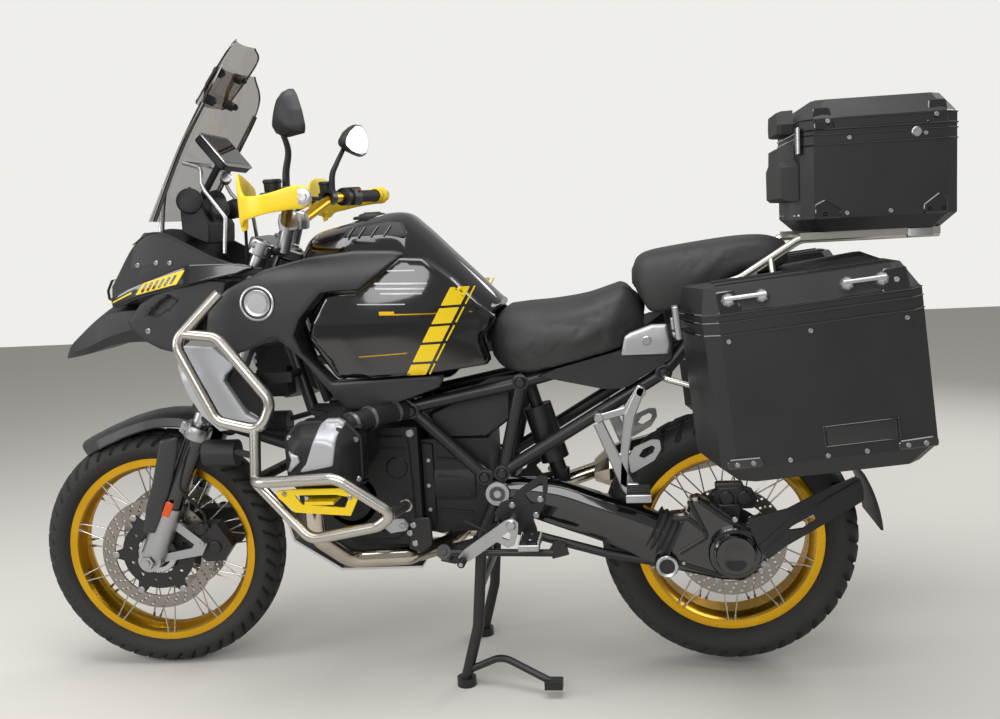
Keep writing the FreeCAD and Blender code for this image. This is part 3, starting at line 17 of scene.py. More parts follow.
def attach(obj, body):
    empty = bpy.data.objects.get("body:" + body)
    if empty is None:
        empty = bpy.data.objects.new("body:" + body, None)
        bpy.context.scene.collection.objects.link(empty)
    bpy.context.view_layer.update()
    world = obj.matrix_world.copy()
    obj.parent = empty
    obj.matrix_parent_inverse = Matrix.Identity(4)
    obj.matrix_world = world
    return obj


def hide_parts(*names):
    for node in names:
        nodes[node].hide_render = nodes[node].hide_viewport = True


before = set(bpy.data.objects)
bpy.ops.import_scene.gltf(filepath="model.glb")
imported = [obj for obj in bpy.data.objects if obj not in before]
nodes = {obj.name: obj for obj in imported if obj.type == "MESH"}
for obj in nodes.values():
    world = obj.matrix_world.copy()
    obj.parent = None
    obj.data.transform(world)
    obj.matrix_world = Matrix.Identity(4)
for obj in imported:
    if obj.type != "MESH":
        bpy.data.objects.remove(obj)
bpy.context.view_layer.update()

REAR_AXLE_X = -660.0  # in the world's frame
WHEELBASE = 1504.0
FRONT_AXLE = np.array((WHEELBASE, 0.0, 325.0))
REAR_AXLE = np.array((0.0, 0.0, 338.0))
RAKE = math.radians(24.9)
STEER_REST = math.radians(4.1)
STEERING_FOOT = FRONT_AXLE - (55.5, 0, 0)
STEERING_UP = np.array((-math.sin(RAKE), 0.0, math.cos(RAKE)))
UP = np.array((0.0, 0.0, 1.0))
SIDEWAYS = np.array((0.0, 1.0, 0.0))
FORWARD = np.array((1.0, 0.0, 0.0))
LEG_Y = 105.0
LEFT_AND_RIGHT = (1, -1)
STEERED_BODIES = ("steering", "front_wheel")


def turning(axis, angle):
    """The matrix that turns vectors about a unit axis by an angle in radians."""
    cross = np.array(((0, -axis[2], axis[1]), (axis[2], 0, -axis[0]), (-axis[1], axis[0], 0)))
    return np.eye(3) + math.sin(angle) * cross + (1 - math.cos(angle)) * cross @ cross


def turned_with_fork(points):
    """Points turned about the steering axis by its angle at rest."""
    return (points - STEERING_FOOT) @ turning(STEERING_UP, STEER_REST).T + STEERING_FOOT


def on_leg(z, side):
    """The middle of a fork leg at a height."""
    return np.array((WHEELBASE - (z - FRONT_AXLE[2]) * math.tan(RAKE), side * LEG_Y, z))


# Shapes are pairs of corner positions and faces, as arrays, so that they can be joined.
def joined(*shapes):
    """One shape from several."""
    corners, faces, start = [], [], 0
    for points, sides in shapes:
        corners.append(points)
        faces += [tuple(int(corner) + start for corner in face) for face in sides]
        start += len(points)
    return np.vstack(corners), faces


def mirrored(shape):
    """The same on the other side: Y changes sign and each face is walked the other way."""
    points, faces = shape
    return points * (1, -1, 1), [tuple(face)[::-1] for face in faces]


def moved(shape, by):
    """A shape moved by a vector."""
    return shape[0] + np.asarray(by, float), shape[1]


def about(shape, centre, axis, angle):
    """A shape turned about an axis through a centre by an angle in radians."""
    axis = np.asarray(axis, float) / np.linalg.norm(axis)
    return (shape[0] - centre) @ turning(axis, angle).T + centre, shape[1]


def surface(points, around=False, along=False, ends=False):
    """Quads over a grid of points [along, around], closed either way, with flat ends if asked."""
    rows, columns = points.shape[:2]
    i = np.arange(rows if along else rows - 1)[:, None]
    j = np.arange(columns if around else columns - 1)[None, :]
    after_i, after_j = (i + 1) % rows, (j + 1) % columns
    quads = np.stack([i * columns + j, i * columns + after_j, after_i * columns + after_j,
                      after_i * columns + j], -1).reshape(-1, 4)
    faces = [tuple(quad) for quad in quads.tolist()]
    if ends:
        faces.append(tuple(range(columns))[::-1])
        faces.append(tuple(range((rows - 1) * columns, rows * columns)))
    return points.reshape(-1, 3), faces


def circle(radius, sides, radius_across=None):
    """Points of a circle, or of an ellipse, in its own plane."""
    angle = np.linspace(0, 2 * np.pi, sides, endpoint=False)
    return np.stack([radius * np.cos(angle), (radius_across or radius) * np.sin(angle)], 1)


def carried(profile, path, hint=UP, ends=True, loop=False, scale=None):
    """A profile carried along a path: at each point it lies square to the path, its first
    coordinate along the direction that is square to the hint, its second along the rest."""
    path = np.asarray(path, float)
    if loop:
        ahead = np.roll(path, -1, 0) - np.roll(path, 1, 0)
    else:
        ahead = np.gradient(path, axis=0)
    ahead /= np.linalg.norm(ahead, axis=1)[:, None]
    side = np.cross(np.broadcast_to(hint, path.shape), ahead)
    side /= np.linalg.norm(side, axis=1)[:, None]
    up = np.cross(ahead, side)
    size = np.ones(len(path)) if scale is None else np.asarray(scale, float)
    points = (path[:, None] + side[:, None] * (profile[None, :, :1] * size[:, None, None])
              + up[:, None] * (profile[None, :, 1:2] * size[:, None, None]))
    return surface(points, around=True, along=loop, ends=ends and not loop)


def rounded_path(points, bend, steps=6):
    """Straight runs joined by arcs: at each corner the path leaves the first run and meets the
    next by the same length, and goes round between them on a circle that touches both."""
    points = np.asarray(points, float)
    path = [points[0]]
    for before, corner, after in zip(points, points[1:], points[2:]):
        back, on = before - corner, after - corner
        room = 0.45 * min(np.linalg.norm(back), np.linalg.norm(on))
        back, on = back / np.linalg.norm(back), on / np.linalg.norm(on)
        half = math.acos(float(np.clip(back @ on, -1, 1))) / 2
        cut = min(bend / math.tan(half), room)
        radius = cut * math.tan(half)
        inward = (back + on) / np.linalg.norm(back + on)
        centre = corner + inward * radius / math.sin(half)
        start, end = corner + back * cut - centre, corner + on * cut - centre
        sweep = math.pi - 2 * half
        for t in np.linspace(0, 1, steps):
            arc = math.sin((1 - t) * sweep) * start + math.sin(t * sweep) * end
            path.append(centre + arc / math.sin(sweep))
    path.append(points[-1])
    return np.array(path)


def pipe(points, radius, bend=30.0, sides=16, steps=6, hint=None):
    """A round tube along straight runs with bends."""
    path = rounded_path(points, bend, steps) if len(points) > 2 else np.asarray(points, float)
    along = path[-1] - path[0]
    if hint is None:
        hint = np.eye(3)[np.argmin(np.abs(along))] + (0.013, 0.007, 0.011)
    return carried(circle(radius, sides), path, hint)


def turned(profile, centre, axis=SIDEWAYS, sides=48, arc=2 * math.pi, start=0.0, closed=False):
    """A profile (radius, along the axis) carried round an axis through a centre. A closed
    profile is a ring's section; an open one that ends on the axis closes there."""
    axis = np.asarray(axis, float) / np.linalg.norm(axis)
    first = np.cross(axis, (0.0, 0.0, 1.0) if abs(axis[2]) < 0.9 else (1.0, 0.0, 0.0))
    first /= np.linalg.norm(first)
    second = np.cross(axis, first)
    whole = arc > 6.28
    angle = start + np.linspace(0, arc, sides, endpoint=not whole)
    ring = np.cos(angle)[:, None] * first + np.sin(angle)[:, None] * second
    profile = np.asarray(profile, float)
    points = (np.asarray(centre, float) + ring[:, None] * profile[None, :, :1] + axis * profile[None, :, 1:2])
    return surface(points, around=closed, along=whole)


def slab(outline, low, high, edge=1.5, across=1):
    """A flat plate: an outline in two axes, between two values of the third, with its rims
    drawn in by the edge, so that they catch the light."""
    axes = [axis for axis in range(3) if axis != across]
    outline = np.asarray(outline, float)
    if np.sum(outline[:, 0] * np.roll(outline[:, 1], -1) - outline[:, 1] * np.roll(outline[:, 0], -1)) < 0:
        outline = outline[::-1]
    ahead = np.roll(outline, -1, 0) - outline
    ahead /= np.linalg.norm(ahead, axis=1)[:, None]
    normal = np.stack([ahead[:, 1], -ahead[:, 0]], 1)
    out = normal + np.roll(normal, 1, 0)
    out /= np.maximum(np.sum(out * normal, 1), 0.35)[:, None]
    levels = ((low, edge), (low + edge, 0), (high - edge, 0), (high, edge))
    points = np.zeros((4, len(outline), 3))
    for row, (level, inset) in enumerate(levels):
        points[row][:, axes] = outline - out * inset
        points[row][:, across] = level
    shape = surface(points, around=True, ends=True)
    return (shape[0], [face[::-1] for face in shape[1]]) if across == 1 else shape


def rounded(points, radius, steps=4):
    """An outline in a plane with its corners rounded by arcs."""
    points = np.asarray(points, float)
    out = []
    for before, corner, after in zip(np.roll(points, 1, 0), points, np.roll(points, -1, 0)):
        back, on = before - corner, after - corner
        room = 0.45 * min(np.linalg.norm(back), np.linalg.norm(on))
        back, on = back / np.linalg.norm(back), on / np.linalg.norm(on)
        half = math.acos(float(np.clip(back @ on, -0.9999, 0.9999))) / 2
        cut = min(radius / math.tan(half), room)
        first, last = corner + back * cut, corner + on * cut
        for t in np.linspace(0, 1, steps):
            out.append((1 - t) ** 2 * first + 2 * t * (1 - t) * corner + t ** 2 * last)
    return np.array(out)


def plate(outline, radius, low, high, edge=1.5):
    """A flat plate in X and Z with rounded corners, between two values of Y."""
    return slab(rounded(outline, radius), low, high, edge)


def box_of(low, high, edge=1.5, corner=3.0):
    """A block with rounded upright corners and bevelled rims."""
    (x0, y0, z0), (x1, y1, z1) = low, high
    outline = rounded([(x0, y0), (x1, y0), (x1, y1), (x0, y1)], corner, 3)
    return slab(outline, z0, z1, edge, across=2)


def piece(name, shape, finish, body="root", slot=None, stands_for=(), smooth=40.0):
    """Puts a shape into the scene as one object that rides on a body. Its seams are closed and
    its faces turned outwards. Its slot, that of its finish where none is given, is worked out but not kept."""
    points, faces = shape
    points = turned_with_fork(points) if body in STEERED_BODIES else points
    mesh = bpy.data.meshes.new(name)
    mesh.from_pydata(((points + (REAR_AXLE_X, 0, 0)) / 1000).tolist(), [], faces)
    mesh.validate()
    solid = bmesh.new()
    solid.from_mesh(mesh)
    bmesh.ops.remove_doubles(solid, verts=solid.verts, dist=2e-6)
    bmesh.ops.recalc_face_normals(solid, faces=solid.faces)
    solid.to_mesh(mesh)
    solid.free()
    item = bpy.data.objects.new(name, mesh)
    bpy.context.scene.collection.objects.link(item)
    mesh.materials.append(finish)
    if smooth:
        mesh.shade_smooth()
        mesh.set_sharp_from_angle(angle=math.radians(smooth))
    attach(item, body)
    slot = slot or SLOT_OF[finish.name]
    if stands_for:
        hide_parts(*stands_for)
    return item


# Finishes. Colours are written as sRGB hex.
def linear(code):
    """A hex colour as linear red, green, blue and alpha."""
    parts = [int(code[start:start + 2], 16) / 255 for start in (1, 3, 5)]
    return [part / 12.92 if part <= 0.04045 else ((part + 0.055) / 1.055) ** 2.4 for part in parts] + [1.0]


def add(tree, kind, links=(), **settings):
    """A node with its properties and socket values; links are (its input, another's output)."""
    node = tree.nodes.new(kind)
    for key, value in settings.items():
        if key in node.bl_rna.properties:
            setattr(node, key, value)
        else:
            node.inputs[key.replace("_", " ")].default_value = value
    for socket, source in links:
        tree.links.new(source, node.inputs[socket])
    return node


SLOT_OF = {}  # a finish's name to its slot


def material(name, slot, colour, roughness, metallic=0.0, other=None, grain=0.0, depth=0.0, coat=0.0,
             coat_roughness=0.05, transmission=0.0, ior=None, alpha=1.0, spread=0.06, bumps="noise"):
    """A finish for a slot: its colour drifts to another one in soft patches, its roughness
    varies by the spread, and grain (mm) with depth (mm) is the texture that it was made with."""
    made = bpy.data.materials.new(name)
    SLOT_OF[made.name] = slot
    made.use_nodes = True
    tree = made.node_tree
    shader = tree.nodes["Principled BSDF"]
    shader.inputs["Metallic"].default_value = metallic
    shader.inputs["Coat Weight"].default_value = coat
    shader.inputs["Coat Roughness"].default_value = coat_roughness
    shader.inputs["Transmission Weight"].default_value = transmission
    shader.inputs["Alpha"].default_value = alpha
    if ior:
        shader.inputs["IOR"].default_value = ior
    place = add(tree, "ShaderNodeTexCoord").outputs["Object"]
    patches = add(tree, "ShaderNodeTexNoise", [("Vector", place)], Scale=9.0, Detail=6.0)
    blend = add(tree, "ShaderNodeMix", [("Factor", patches.outputs["Fac"])], data_type="RGBA")
    blend.inputs["A"].default_value = linear(colour)
    blend.inputs["B"].default_value = linear(other or colour)
    tree.links.new(blend.outputs["Result"], shader.inputs["Base Color"])
    rough = add(tree, "ShaderNodeMapRange", [("Value", patches.outputs["Fac"])], From_Min=0.3, From_Max=0.7,
                To_Min=max(roughness - spread, 0.01), To_Max=min(roughness + spread, 1.0))
    tree.links.new(rough.outputs["Result"], shader.inputs["Roughness"])
    if grain:
        scale = 1000 / grain
        if bumps == "cells":
            texture = add(tree, "ShaderNodeTexVoronoi", [("Vector", place)], Scale=scale)
            height = texture.outputs["Distance"]
        else:
            texture = add(tree, "ShaderNodeTexNoise", [("Vector", place)], Scale=scale, Detail=2.0)
            height = texture.outputs["Fac"]
        bump = add(tree, "ShaderNodeBump", [("Height", height)], Strength=1.0, Distance=depth / 1000)
        tree.links.new(bump.outputs[0], shader.inputs["Normal"])
    return made


# Powder-coated steel: a hard satin black with a fine orange peel.
powder_black = material("powder_coated_steel", "black_steel", "#141415", 0.38, other="#1a1a1b", grain=1.2,
                        depth=0.05)
# Sand-cast aluminium, painted black: dull, with the sand's grain.
cast_black = material("painted_casting", "engine_casting", "#161617", 0.5, other="#202022", grain=1.6,
                      depth=0.12, metallic=0.3)
# Die-cast aluminium, bead blasted: an even silver with no streaks.
cast_silver = material("die_cast_aluminium", "plate_aluminium", "#b9babb", 0.38, 1.0, other="#9d9ea0",
                       grain=0.8, depth=0.03)
# Stainless tube, brushed along its length.
stainless = material("brushed_stainless_tube", "stainless", "#c8c5bf", 0.27, 1.0, other="#aaa69e", grain=1.0,
                     depth=0.02)
# Extruded aluminium, anodised clear: pale and smooth.
anodised_silver = material("clear_anodised_aluminium", "stainless", "#c6c7c9", 0.32, 1.0, other="#b2b3b6",
                           grain=0.8, depth=0.01)
# Anodised aluminium, dyed gold: a warm metal with a soft sheen.
anodised_gold = material("gold_anodised_aluminium", "gold_anodised", "#dfb02e", 0.3, 1.0, other="#c8951c",
                         grain=0.8, depth=0.01)
# Chromed header pipe, tinted by heat.
heated_chrome = material("header_chrome", "exhaust_chrome", "#cfcac2", 0.16, 1.0, other="#a8987e",
                         spread=0.04)
# Moulded ABS, textured: matte black with a leathery grain.
moulded_black = material("textured_abs", "matte_black", "#161618", 0.55, other="#1c1c1e", grain=0.9,
                         depth=0.05, bumps="cells")
# Painted ABS: deep black under clear lacquer.
lacquer_black = material("black_lacquer", "gloss_black", "#040405", 0.12, other="#08080a", coat=1.0,
                         spread=0.03)
# Painted ABS, satin graphite, on the wings of the tank.
satin_graphite = material("satin_graphite_paint", "matte_black", "#222224", 0.42, other="#28282a", coat=0.15,
                          coat_roughness=0.3)
# Metallic silver paint on the radiator shrouds.
silver_paint = material("metallic_silver_paint", "silver_paint", "#b4b6ba", 0.4, 0.45, other="#a7a9ad",
                        grain=0.5, depth=0.01)
# Yellow nylon and yellow powder coat, both satin.
yellow_nylon = material("yellow_nylon", "yellow_plastic", "#efce12", 0.4, other="#e5c20c", grain=1.0,
                        depth=0.03)
# Powder-coated aluminium sheet: black with a fine leather texture.
case_black = material("powder_coated_sheet", "case_aluminium", "#131416", 0.46, other="#191a1c", grain=0.9,
                      depth=0.06, bumps="cells")
# Vulcanised rubber, bloomed grey by use.
tyre_rubber = material("tyre_rubber", "tyre_rubber", "#1a1a1a", 0.72, other="#242423", grain=1.8, depth=0.08)
soft_rubber = material("soft_rubber", "matte_black", "#101011", 0.65, other="#171718", grain=1.2, depth=0.05)
# Ground stainless steel, rubbed by the pads.
disc_steel = material("ground_disc_steel", "disc_steel", "#9f9a93", 0.3, 1.0, other="#837d76", grain=0.7,
                      depth=0.02)
# Vinyl with a pebbled grain, over foam.
seat_vinyl = material("pebbled_vinyl", "seat_cover", "#232524", 0.62, other="#2b2d2b", grain=1.5, depth=0.12,
                      bumps="cells")
# Polycarbonate lens.
clear_lens = material("clear_polycarbonate", "lamp_glass", "#f4f6f8", 0.04, transmission=1.0, ior=1.58,
                      spread=0.01)
# Acrylic sheet, tinted bronze.
bronze_acrylic = material("bronze_acrylic", "tinted_screen", "#5a4028", 0.05, alpha=0.42, spread=0.02)
red_lens = material("red_lens", "yellow_coat", "#b3120f", 0.12, transmission=0.35, ior=1.49, spread=0.02)
orange_lens = material("orange_reflector", "yellow_coat", "#e8560c", 0.15, transmission=0.25, ior=1.49,
                       spread=0.02)
mirror_glass = material("mirror_glass", "lamp_glass", "#e8eaec", 0.03, 1.0, spread=0.01)
display_glass = material("display_glass", "gloss_black", "#07080a", 0.08, coat=1.0, spread=0.02)
steel_screw = material("zinc_plated_screw", "stainless", "#b5b6b8", 0.35, 1.0, other="#9c9da0")

# Solids that show as they are; the other nodes are replaced by pieces below.
for finish, names in (
        (cast_black, "engine_block front_arm"),
        (cast_silver, "fork_feet"),
        (powder_black, "main_frame rear_shock front_calipers centre_stand side_stand"),
        (lacquer_black, "fork_lower"),
        (moulded_black, "radiators aux_lamps tail_unit airbox side_covers"),
        (case_black, "pannier_box_left pannier_box_right top_box"),
        (case_black, "pannier_lid_left pannier_lid_right top_box_lid"),
        (seat_vinyl, "backrest_low backrest_high"),
        (stainless, "crash_bars luggage_rack"),
        (anodised_silver, "skid_plate front_axle lid_handles_left lid_handles_right"),
        (anodised_gold, "handlebar"),
        (heated_chrome, "exhaust"),
        (yellow_nylon, "head_guards"),
):
    for node_name in names.split():
        nodes[node_name].data.materials.clear()
        nodes[node_name].data.materials.append(finish)


# Curves and outlines.
def smooth_through(points, steps=6, before=None, after=None):
    """A curve through points: between two of them it follows the cubic whose slope at each
    point is half the way from the one before to the one after."""
    points = np.asarray(points, float)
    before = 2 * points[0] - points[1] if before is None else before
    after = 2 * points[-1] - points[-2] if after is None else after
    padded = np.concatenate([before[None], points, after[None]])
    t = np.linspace(0, 1, steps, endpoint=False).reshape((-1,) + (1,) * (points.ndim - 1))
    rows = []
    for a, b, c, d in zip(padded, padded[1:], padded[2:], padded[3:]):
        rows.append(b + 0.5 * t * (c - a + t * (2 * a - 5 * b + 4 * c - d + t * (3 * b - a - 3 * c + d))))
    return np.concatenate(rows + [points[-1:]])


def ramp(value, low, high):
    """0 below low, 1 above high, smooth between."""
    t = np.clip((value - low) / (high - low), 0, 1)
    return t * t * (3 - 2 * t)


def even(outline, spacing):
    """A closed outline with more points on it, at most a spacing apart."""
    points = []
    for start, end in zip(outline, np.roll(outline, -1, 0)):
        count = max(1, int(math.ceil(np.linalg.norm(end - start) / spacing)))
        points += [start + (end - start) * k / count for k in range(count)]
    return np.array(points)


def rim_distance(points, outline):
    """How far each point lies from the nearest side of an outline."""
    start, along = outline, np.roll(outline, -1, 0) - outline
    share = np.sum((points[:, None] - start[None]) * along[None], 2) / np.maximum(np.sum(along ** 2, 1), 1e-9)
    nearest = start[None] + np.clip(share, 0, 1)[..., None] * along[None]
    return np.min(np.linalg.norm(points[:, None] - nearest, axis=2), 1)


def is_inside(points, outline):
    """Whether a ray from each point crosses the outline an odd number of times."""
    x0, z0 = outline.T
    x1, z1 = np.roll(outline, -1, 0).T
    crosses = (z0[None] > points[:, 1:]) != (z1[None] > points[:, 1:])
    at = x0 + (points[:, 1:] - z0) * (x1 - x0) / np.where(z1 == z0, 1e-9, z1 - z0)
    return np.sum(crosses & (points[:, :1] < at), 1) % 2 == 1


# Wheels.
WALL_FROM = 34  # how far in from the outer radius the sidewall starts
TYRES = {
    # half of a section from the crown to the bead, (across, in from the outer radius)
    "front": dict(centre=FRONT_AXLE, radius=325.0, bead=38.0, groove=7.0, pitches=46, body="front_wheel",
                  half=[(0, 0), (20, 1.5), (37, 7), (49, 15), (57, 27), (60, 42), (56, 57), (46, 68),
                        (38.5, 73)]),
    "rear": dict(centre=REAR_AXLE, radius=318.0, bead=57.0, groove=8.0, pitches=38, body="rear_wheel",
                 half=[(0, 0), (28, 2), (53, 8), (71, 17), (81, 30), (85, 46), (80, 64), (68, 80), (57.5, 88)]),
}


def tread_depth(turn, across, pitches):
    """How much rubber is left, 0 to 1, by blocks: slanted grooves from a zigzag middle groove
    out to the shoulders, a groove round each shoulder, and fine sipes in the blocks."""
    side = np.sign(across)
    out = np.abs(across)
    pitch = turn * pitches + 0.25 * side
    slant = (pitch + 0.9 * out ** 1.5 + 0.16 * np.sin(6 * out)) % 1.0
    lateral = ramp(np.abs(slant - 0.5), 0.36, 0.43) * ramp(out, 0.1, 0.16)
    zigzag = np.abs(across - 0.055 * np.sin(2 * np.pi * turn * pitches))
    middle = 1 - ramp(zigzag, 0.02, 0.045)
    shoulder = (1 - ramp(np.abs(out - 0.52 - 0.03 * np.sin(2 * np.pi * pitch)), 0.02, 0.04)) * 0.9
    sipe = (1 - ramp(np.abs(slant - 0.25), 0.015, 0.03)) * 0.35 * ramp(out, 0.2, 0.25)
    return np.clip(np.maximum.reduce([lateral, middle, shoulder, sipe]), 0, 1) * (1 - ramp(out, 1.0, 1.1))


def tyre_surface(end):
    """The section goes round the axle; where the tread has a groove, it lies lower along its
    normal, and the sidewall has thin raised rings."""
    tyre = TYRES[end]
    half = smooth_through(tyre["half"], 9)
    section = np.vstack([half[::-1], half[1:] * (-1, 1)])
    length = np.concatenate([[0], np.cumsum(np.linalg.norm(np.diff(section, axis=0), axis=1))])
    places = np.linspace(0, length[-1], 74)
    section = np.stack([np.interp(places, length, section[:, k]) for k in (0, 1)], 1)
    slope = np.gradient(section, axis=0)
    slope /= np.linalg.norm(slope, axis=1)[:, None]
    normal = np.stack([-slope[:, 1], slope[:, 0]], 1)
    normal *= np.sign(normal[:, :1] * section[:, :1] - normal[:, 1:] * 40 + 1e-9)
    normal = np.stack([np.abs(normal[:, 0]) * np.sign(section[:, 0]), -np.abs(normal[:, 1])], 1)
    width = tyre["half"][4][0]
    steps = tyre["pitches"] * 16
    turn = np.linspace(0, 1, steps, endpoint=False)[:, None]
    across = (section[:, 0] / width)[None, :] * np.where(section[:, 1] > WALL_FROM, 1.3, 1.0)[None, :]
    depth = tread_depth(turn, across, tyre["pitches"]) * tyre["groove"]
    wall = section[:, 1][None, :]
    rings = sum(np.exp(-((wall - at) / 0.9) ** 2) for at in (tyre["half"][7][1] - 4, tyre["half"][8][1] - 4))
    ribs = 0.8 * np.exp(-((wall - tyre["half"][5][1]) / 5) ** 4)
    ribs = ribs * ramp(np.sin(2 * np.pi * turn * tyre["pitches"] * 2), 0, 0.3)
    rise = -depth + 1.2 * rings + ribs * (wall > WALL_FROM)
    y = section[:, 0][None, :] + normal[:, 0][None, :] * rise
    radius = tyre["radius"] - (section[:, 1][None, :] + normal[:, 1][None, :] * rise)
    angle = 2 * np.pi * turn
    x, z = radius * np.cos(angle), radius * np.sin(angle)
    points = np.stack([x, np.broadcast_to(y, x.shape), z], -1) + tyre["centre"]
    inner = tyre["radius"] - tyre["half"][8][1] - 10
    beads = [np.stack([inner * np.cos(angle[:, 0]), np.full(steps, side * tyre["bead"] - side),
                       inner * np.sin(angle[:, 0])], -1)
             + tyre["centre"] for side in LEFT_AND_RIGHT]
    points = np.concatenate([beads[0][:, None], points, beads[1][:, None]], 1)
    shape = surface(points, around=True, along=True)
    return shape[0], [face[::-1] for face in shape[1]]


for end in TYRES:
    piece(f"{end}_tyre_tread", tyre_surface(end), tyre_rubber, TYRES[end]["body"],
          stands_for=(f"{end}_tyre",), smooth=35)


# A rim: two lips, bead seats, a stepped well with a raised middle band, all in gold.
def rim_section(seat, flange, half):
    """The closed section of a rim: (radius, across)."""
    lip = [(flange + 1.5, half + 1), (flange + 3, half + 3.5), (flange + 1.5, half + 6),
           (seat - 2, half + 6.3),
           (seat - 6, half + 5), (seat - 7, half - 6), (seat - 9, half - 14), (seat - 19, half - 27)]
    under = [(seat - 19, half - 29), (seat - 14, half - 26), (seat - 2, half - 15), (seat, half - 10),
             (seat, half)]
    return lip + [(r, -y) for r, y in lip[::-1]] + [(r, -y) for r, y in under[::-1]] + under


RIMS = {"front": (241.0, 253.0, 38.0), "rear": (216.0, 229.0, 57.0)}
HUBS = {
    # barrel radius, flange at, left end, right end
    "front": (42.0, 42.0, 71.5, 71.5),
    "rear": (42.0, 54.0, 95.6, 64.0),
}
for end, (seat, flange, half) in RIMS.items():
    centre, body = TYRES[end]["centre"], TYRES[end]["body"]
    piece(f"{end}_rim_ring", turned(rim_section(seat, flange, half), centre, sides=160, closed=True),
          anodised_gold, body, stands_for=(f"{end}_rim",), smooth=30)
    barrel, flange_y, left_end, right_end = HUBS[end]
    side_of_hub = [(15.6, left_end), (30, left_end), (33, left_end - 2), (33, flange_y + 12),
                   (44, flange_y + 10),
                   (56, flange_y + 6), (57, flange_y + 2), (56, flange_y - 3), (48, flange_y - 9),
                   (barrel, flange_y - 16)]
    other_side = [(r, -(y if y < flange_y + 13 else right_end - (left_end - y)))
                  for r, y in side_of_hub[::-1]]
    hub_shape = turned(side_of_hub + other_side, centre, sides=72, closed=True)
    spokes, nipples = [], []
    for count in range(20):
        side = 1 if count % 2 else -1
        for lean in LEFT_AND_RIGHT:
            foot, tip = math.radians(count * 18), math.radians(count * 18 + lean * 34)
            inner = centre + (math.cos(foot) * 50, side * (flange_y + lean * 3), math.sin(foot) * 50)
            reach = seat - 2
            outer = centre + (math.cos(tip) * reach, side * (half + 1), math.sin(tip) * reach)
            along = (outer - inner) / np.linalg.norm(outer - inner)
            spokes.append(carried(circle(1.9, 8), [inner, outer], SIDEWAYS))
            nipples.append(carried(circle(3.6, 6), [outer - along * 15, outer + along * 3], SIDEWAYS))
            nipples.append(carried(circle(5.2, 8), [inner - along * 4, inner + along * 5], SIDEWAYS))
    piece(f"{end}_hub_barrel", hub_shape, powder_black, body, stands_for=(f"{end}_hub",), smooth=35)
    piece(f"{end}_spokes", joined(*spokes), stainless, body)
    piece(f"{end}_spoke_nipples", joined(*nipples), steel_screw, body, smooth=50)


def holed_plate(outline, holes, low, high):
    """A flat plate in X and Z with holes: its two faces are the triangles between the outlines,
    and each outline is carried across from the low Y to the high one."""
    loops = [np.asarray(loop, float) for loop in [outline] + list(holes)]
    flat = [tuple(point) for loop in loops for point in loop]
    edges, start = [], 0
    for loop in loops:
        count = len(loop)
        edges += [(start + k, start + (k + 1) % count) for k in range(count)]
        start += count
    corners, _, triangles, _, _, _ = delaunay_2d_cdt([Vector(point) for point in flat], edges, [], 1, 1e-4)
    corners = np.array([tuple(corner) for corner in corners])
    triangles = np.array(triangles)
    middle = corners[triangles].mean(1)
    inside = np.zeros(len(triangles), bool)
    for loop in loops:
        inside ^= is_inside(middle, loop)
    triangles = triangles[inside]
    a, b, c = (corners[triangles[:, k]] for k in range(3))
    area = (b - a)[:, 0] * (c - a)[:, 1] - (b - a)[:, 1] * (c - a)[:, 0]
    triangles = np.where(area[:, None] > 0, triangles, triangles[:, ::-1])
    count = len(corners)
    points = np.zeros((2 * count, 3))
    points[:, (0, 2)] = np.vstack([corners, corners])
    points[:count, 1], points[count:, 1] = low, high
    faces = [tuple(t) for t in triangles.tolist()] + [tuple(t[::-1]) for t in (triangles + count).tolist()]
    shapes = [(points, faces)]
    for order, loop in enumerate(loops):
        turn = np.sum(loop[:, 0] * np.roll(loop[:, 1], -1) - loop[:, 1] * np.roll(loop[:, 0], -1))
        loop = loop if (turn > 0) == (order == 0) else loop[::-1]
        wall = np.zeros((2, len(loop), 3))
        wall[:, :, (0, 2)] = loop
        wall[0, :, 1], wall[1, :, 1] = low, high
        flat_wall = surface(wall, around=True)
        shapes.append((flat_wall[0], [face[::-1] for face in flat_wall[1]]))
    return joined(*shapes)


def disc_ring(radius, inner, rows, per_row, hole=3.6):
    """The outline and holes of a drilled brake disc: holes in leaning rows of two or three."""
    outline = circle(radius, 120)
    holes = [circle(inner, 96)[::-1]]
    for k in range(per_row):
        for row in range(rows):
            angle = 2 * np.pi * (k + 0.28 * row) / per_row
            at = inner + (radius - inner) * (row + 0.7) / (rows + 0.35)
            holes.append(circle(hole, 10) + (at * math.cos(angle), at * math.sin(angle)))
    return outline, holes


def disc_carrier(outer, inner, arms):
    """A star: the radius swings between the arms' tips and the hollows between them."""
    angle = np.linspace(0, 2 * np.pi, 144, endpoint=False)
    tip = ramp(np.cos(arms * angle), 0.55, 0.95)
    radius = outer * 0.82 + (outer * 0.18) * tip
    return np.stack([radius * np.cos(angle), radius * np.sin(angle)], 1), [circle(inner, 64)[::-1]]


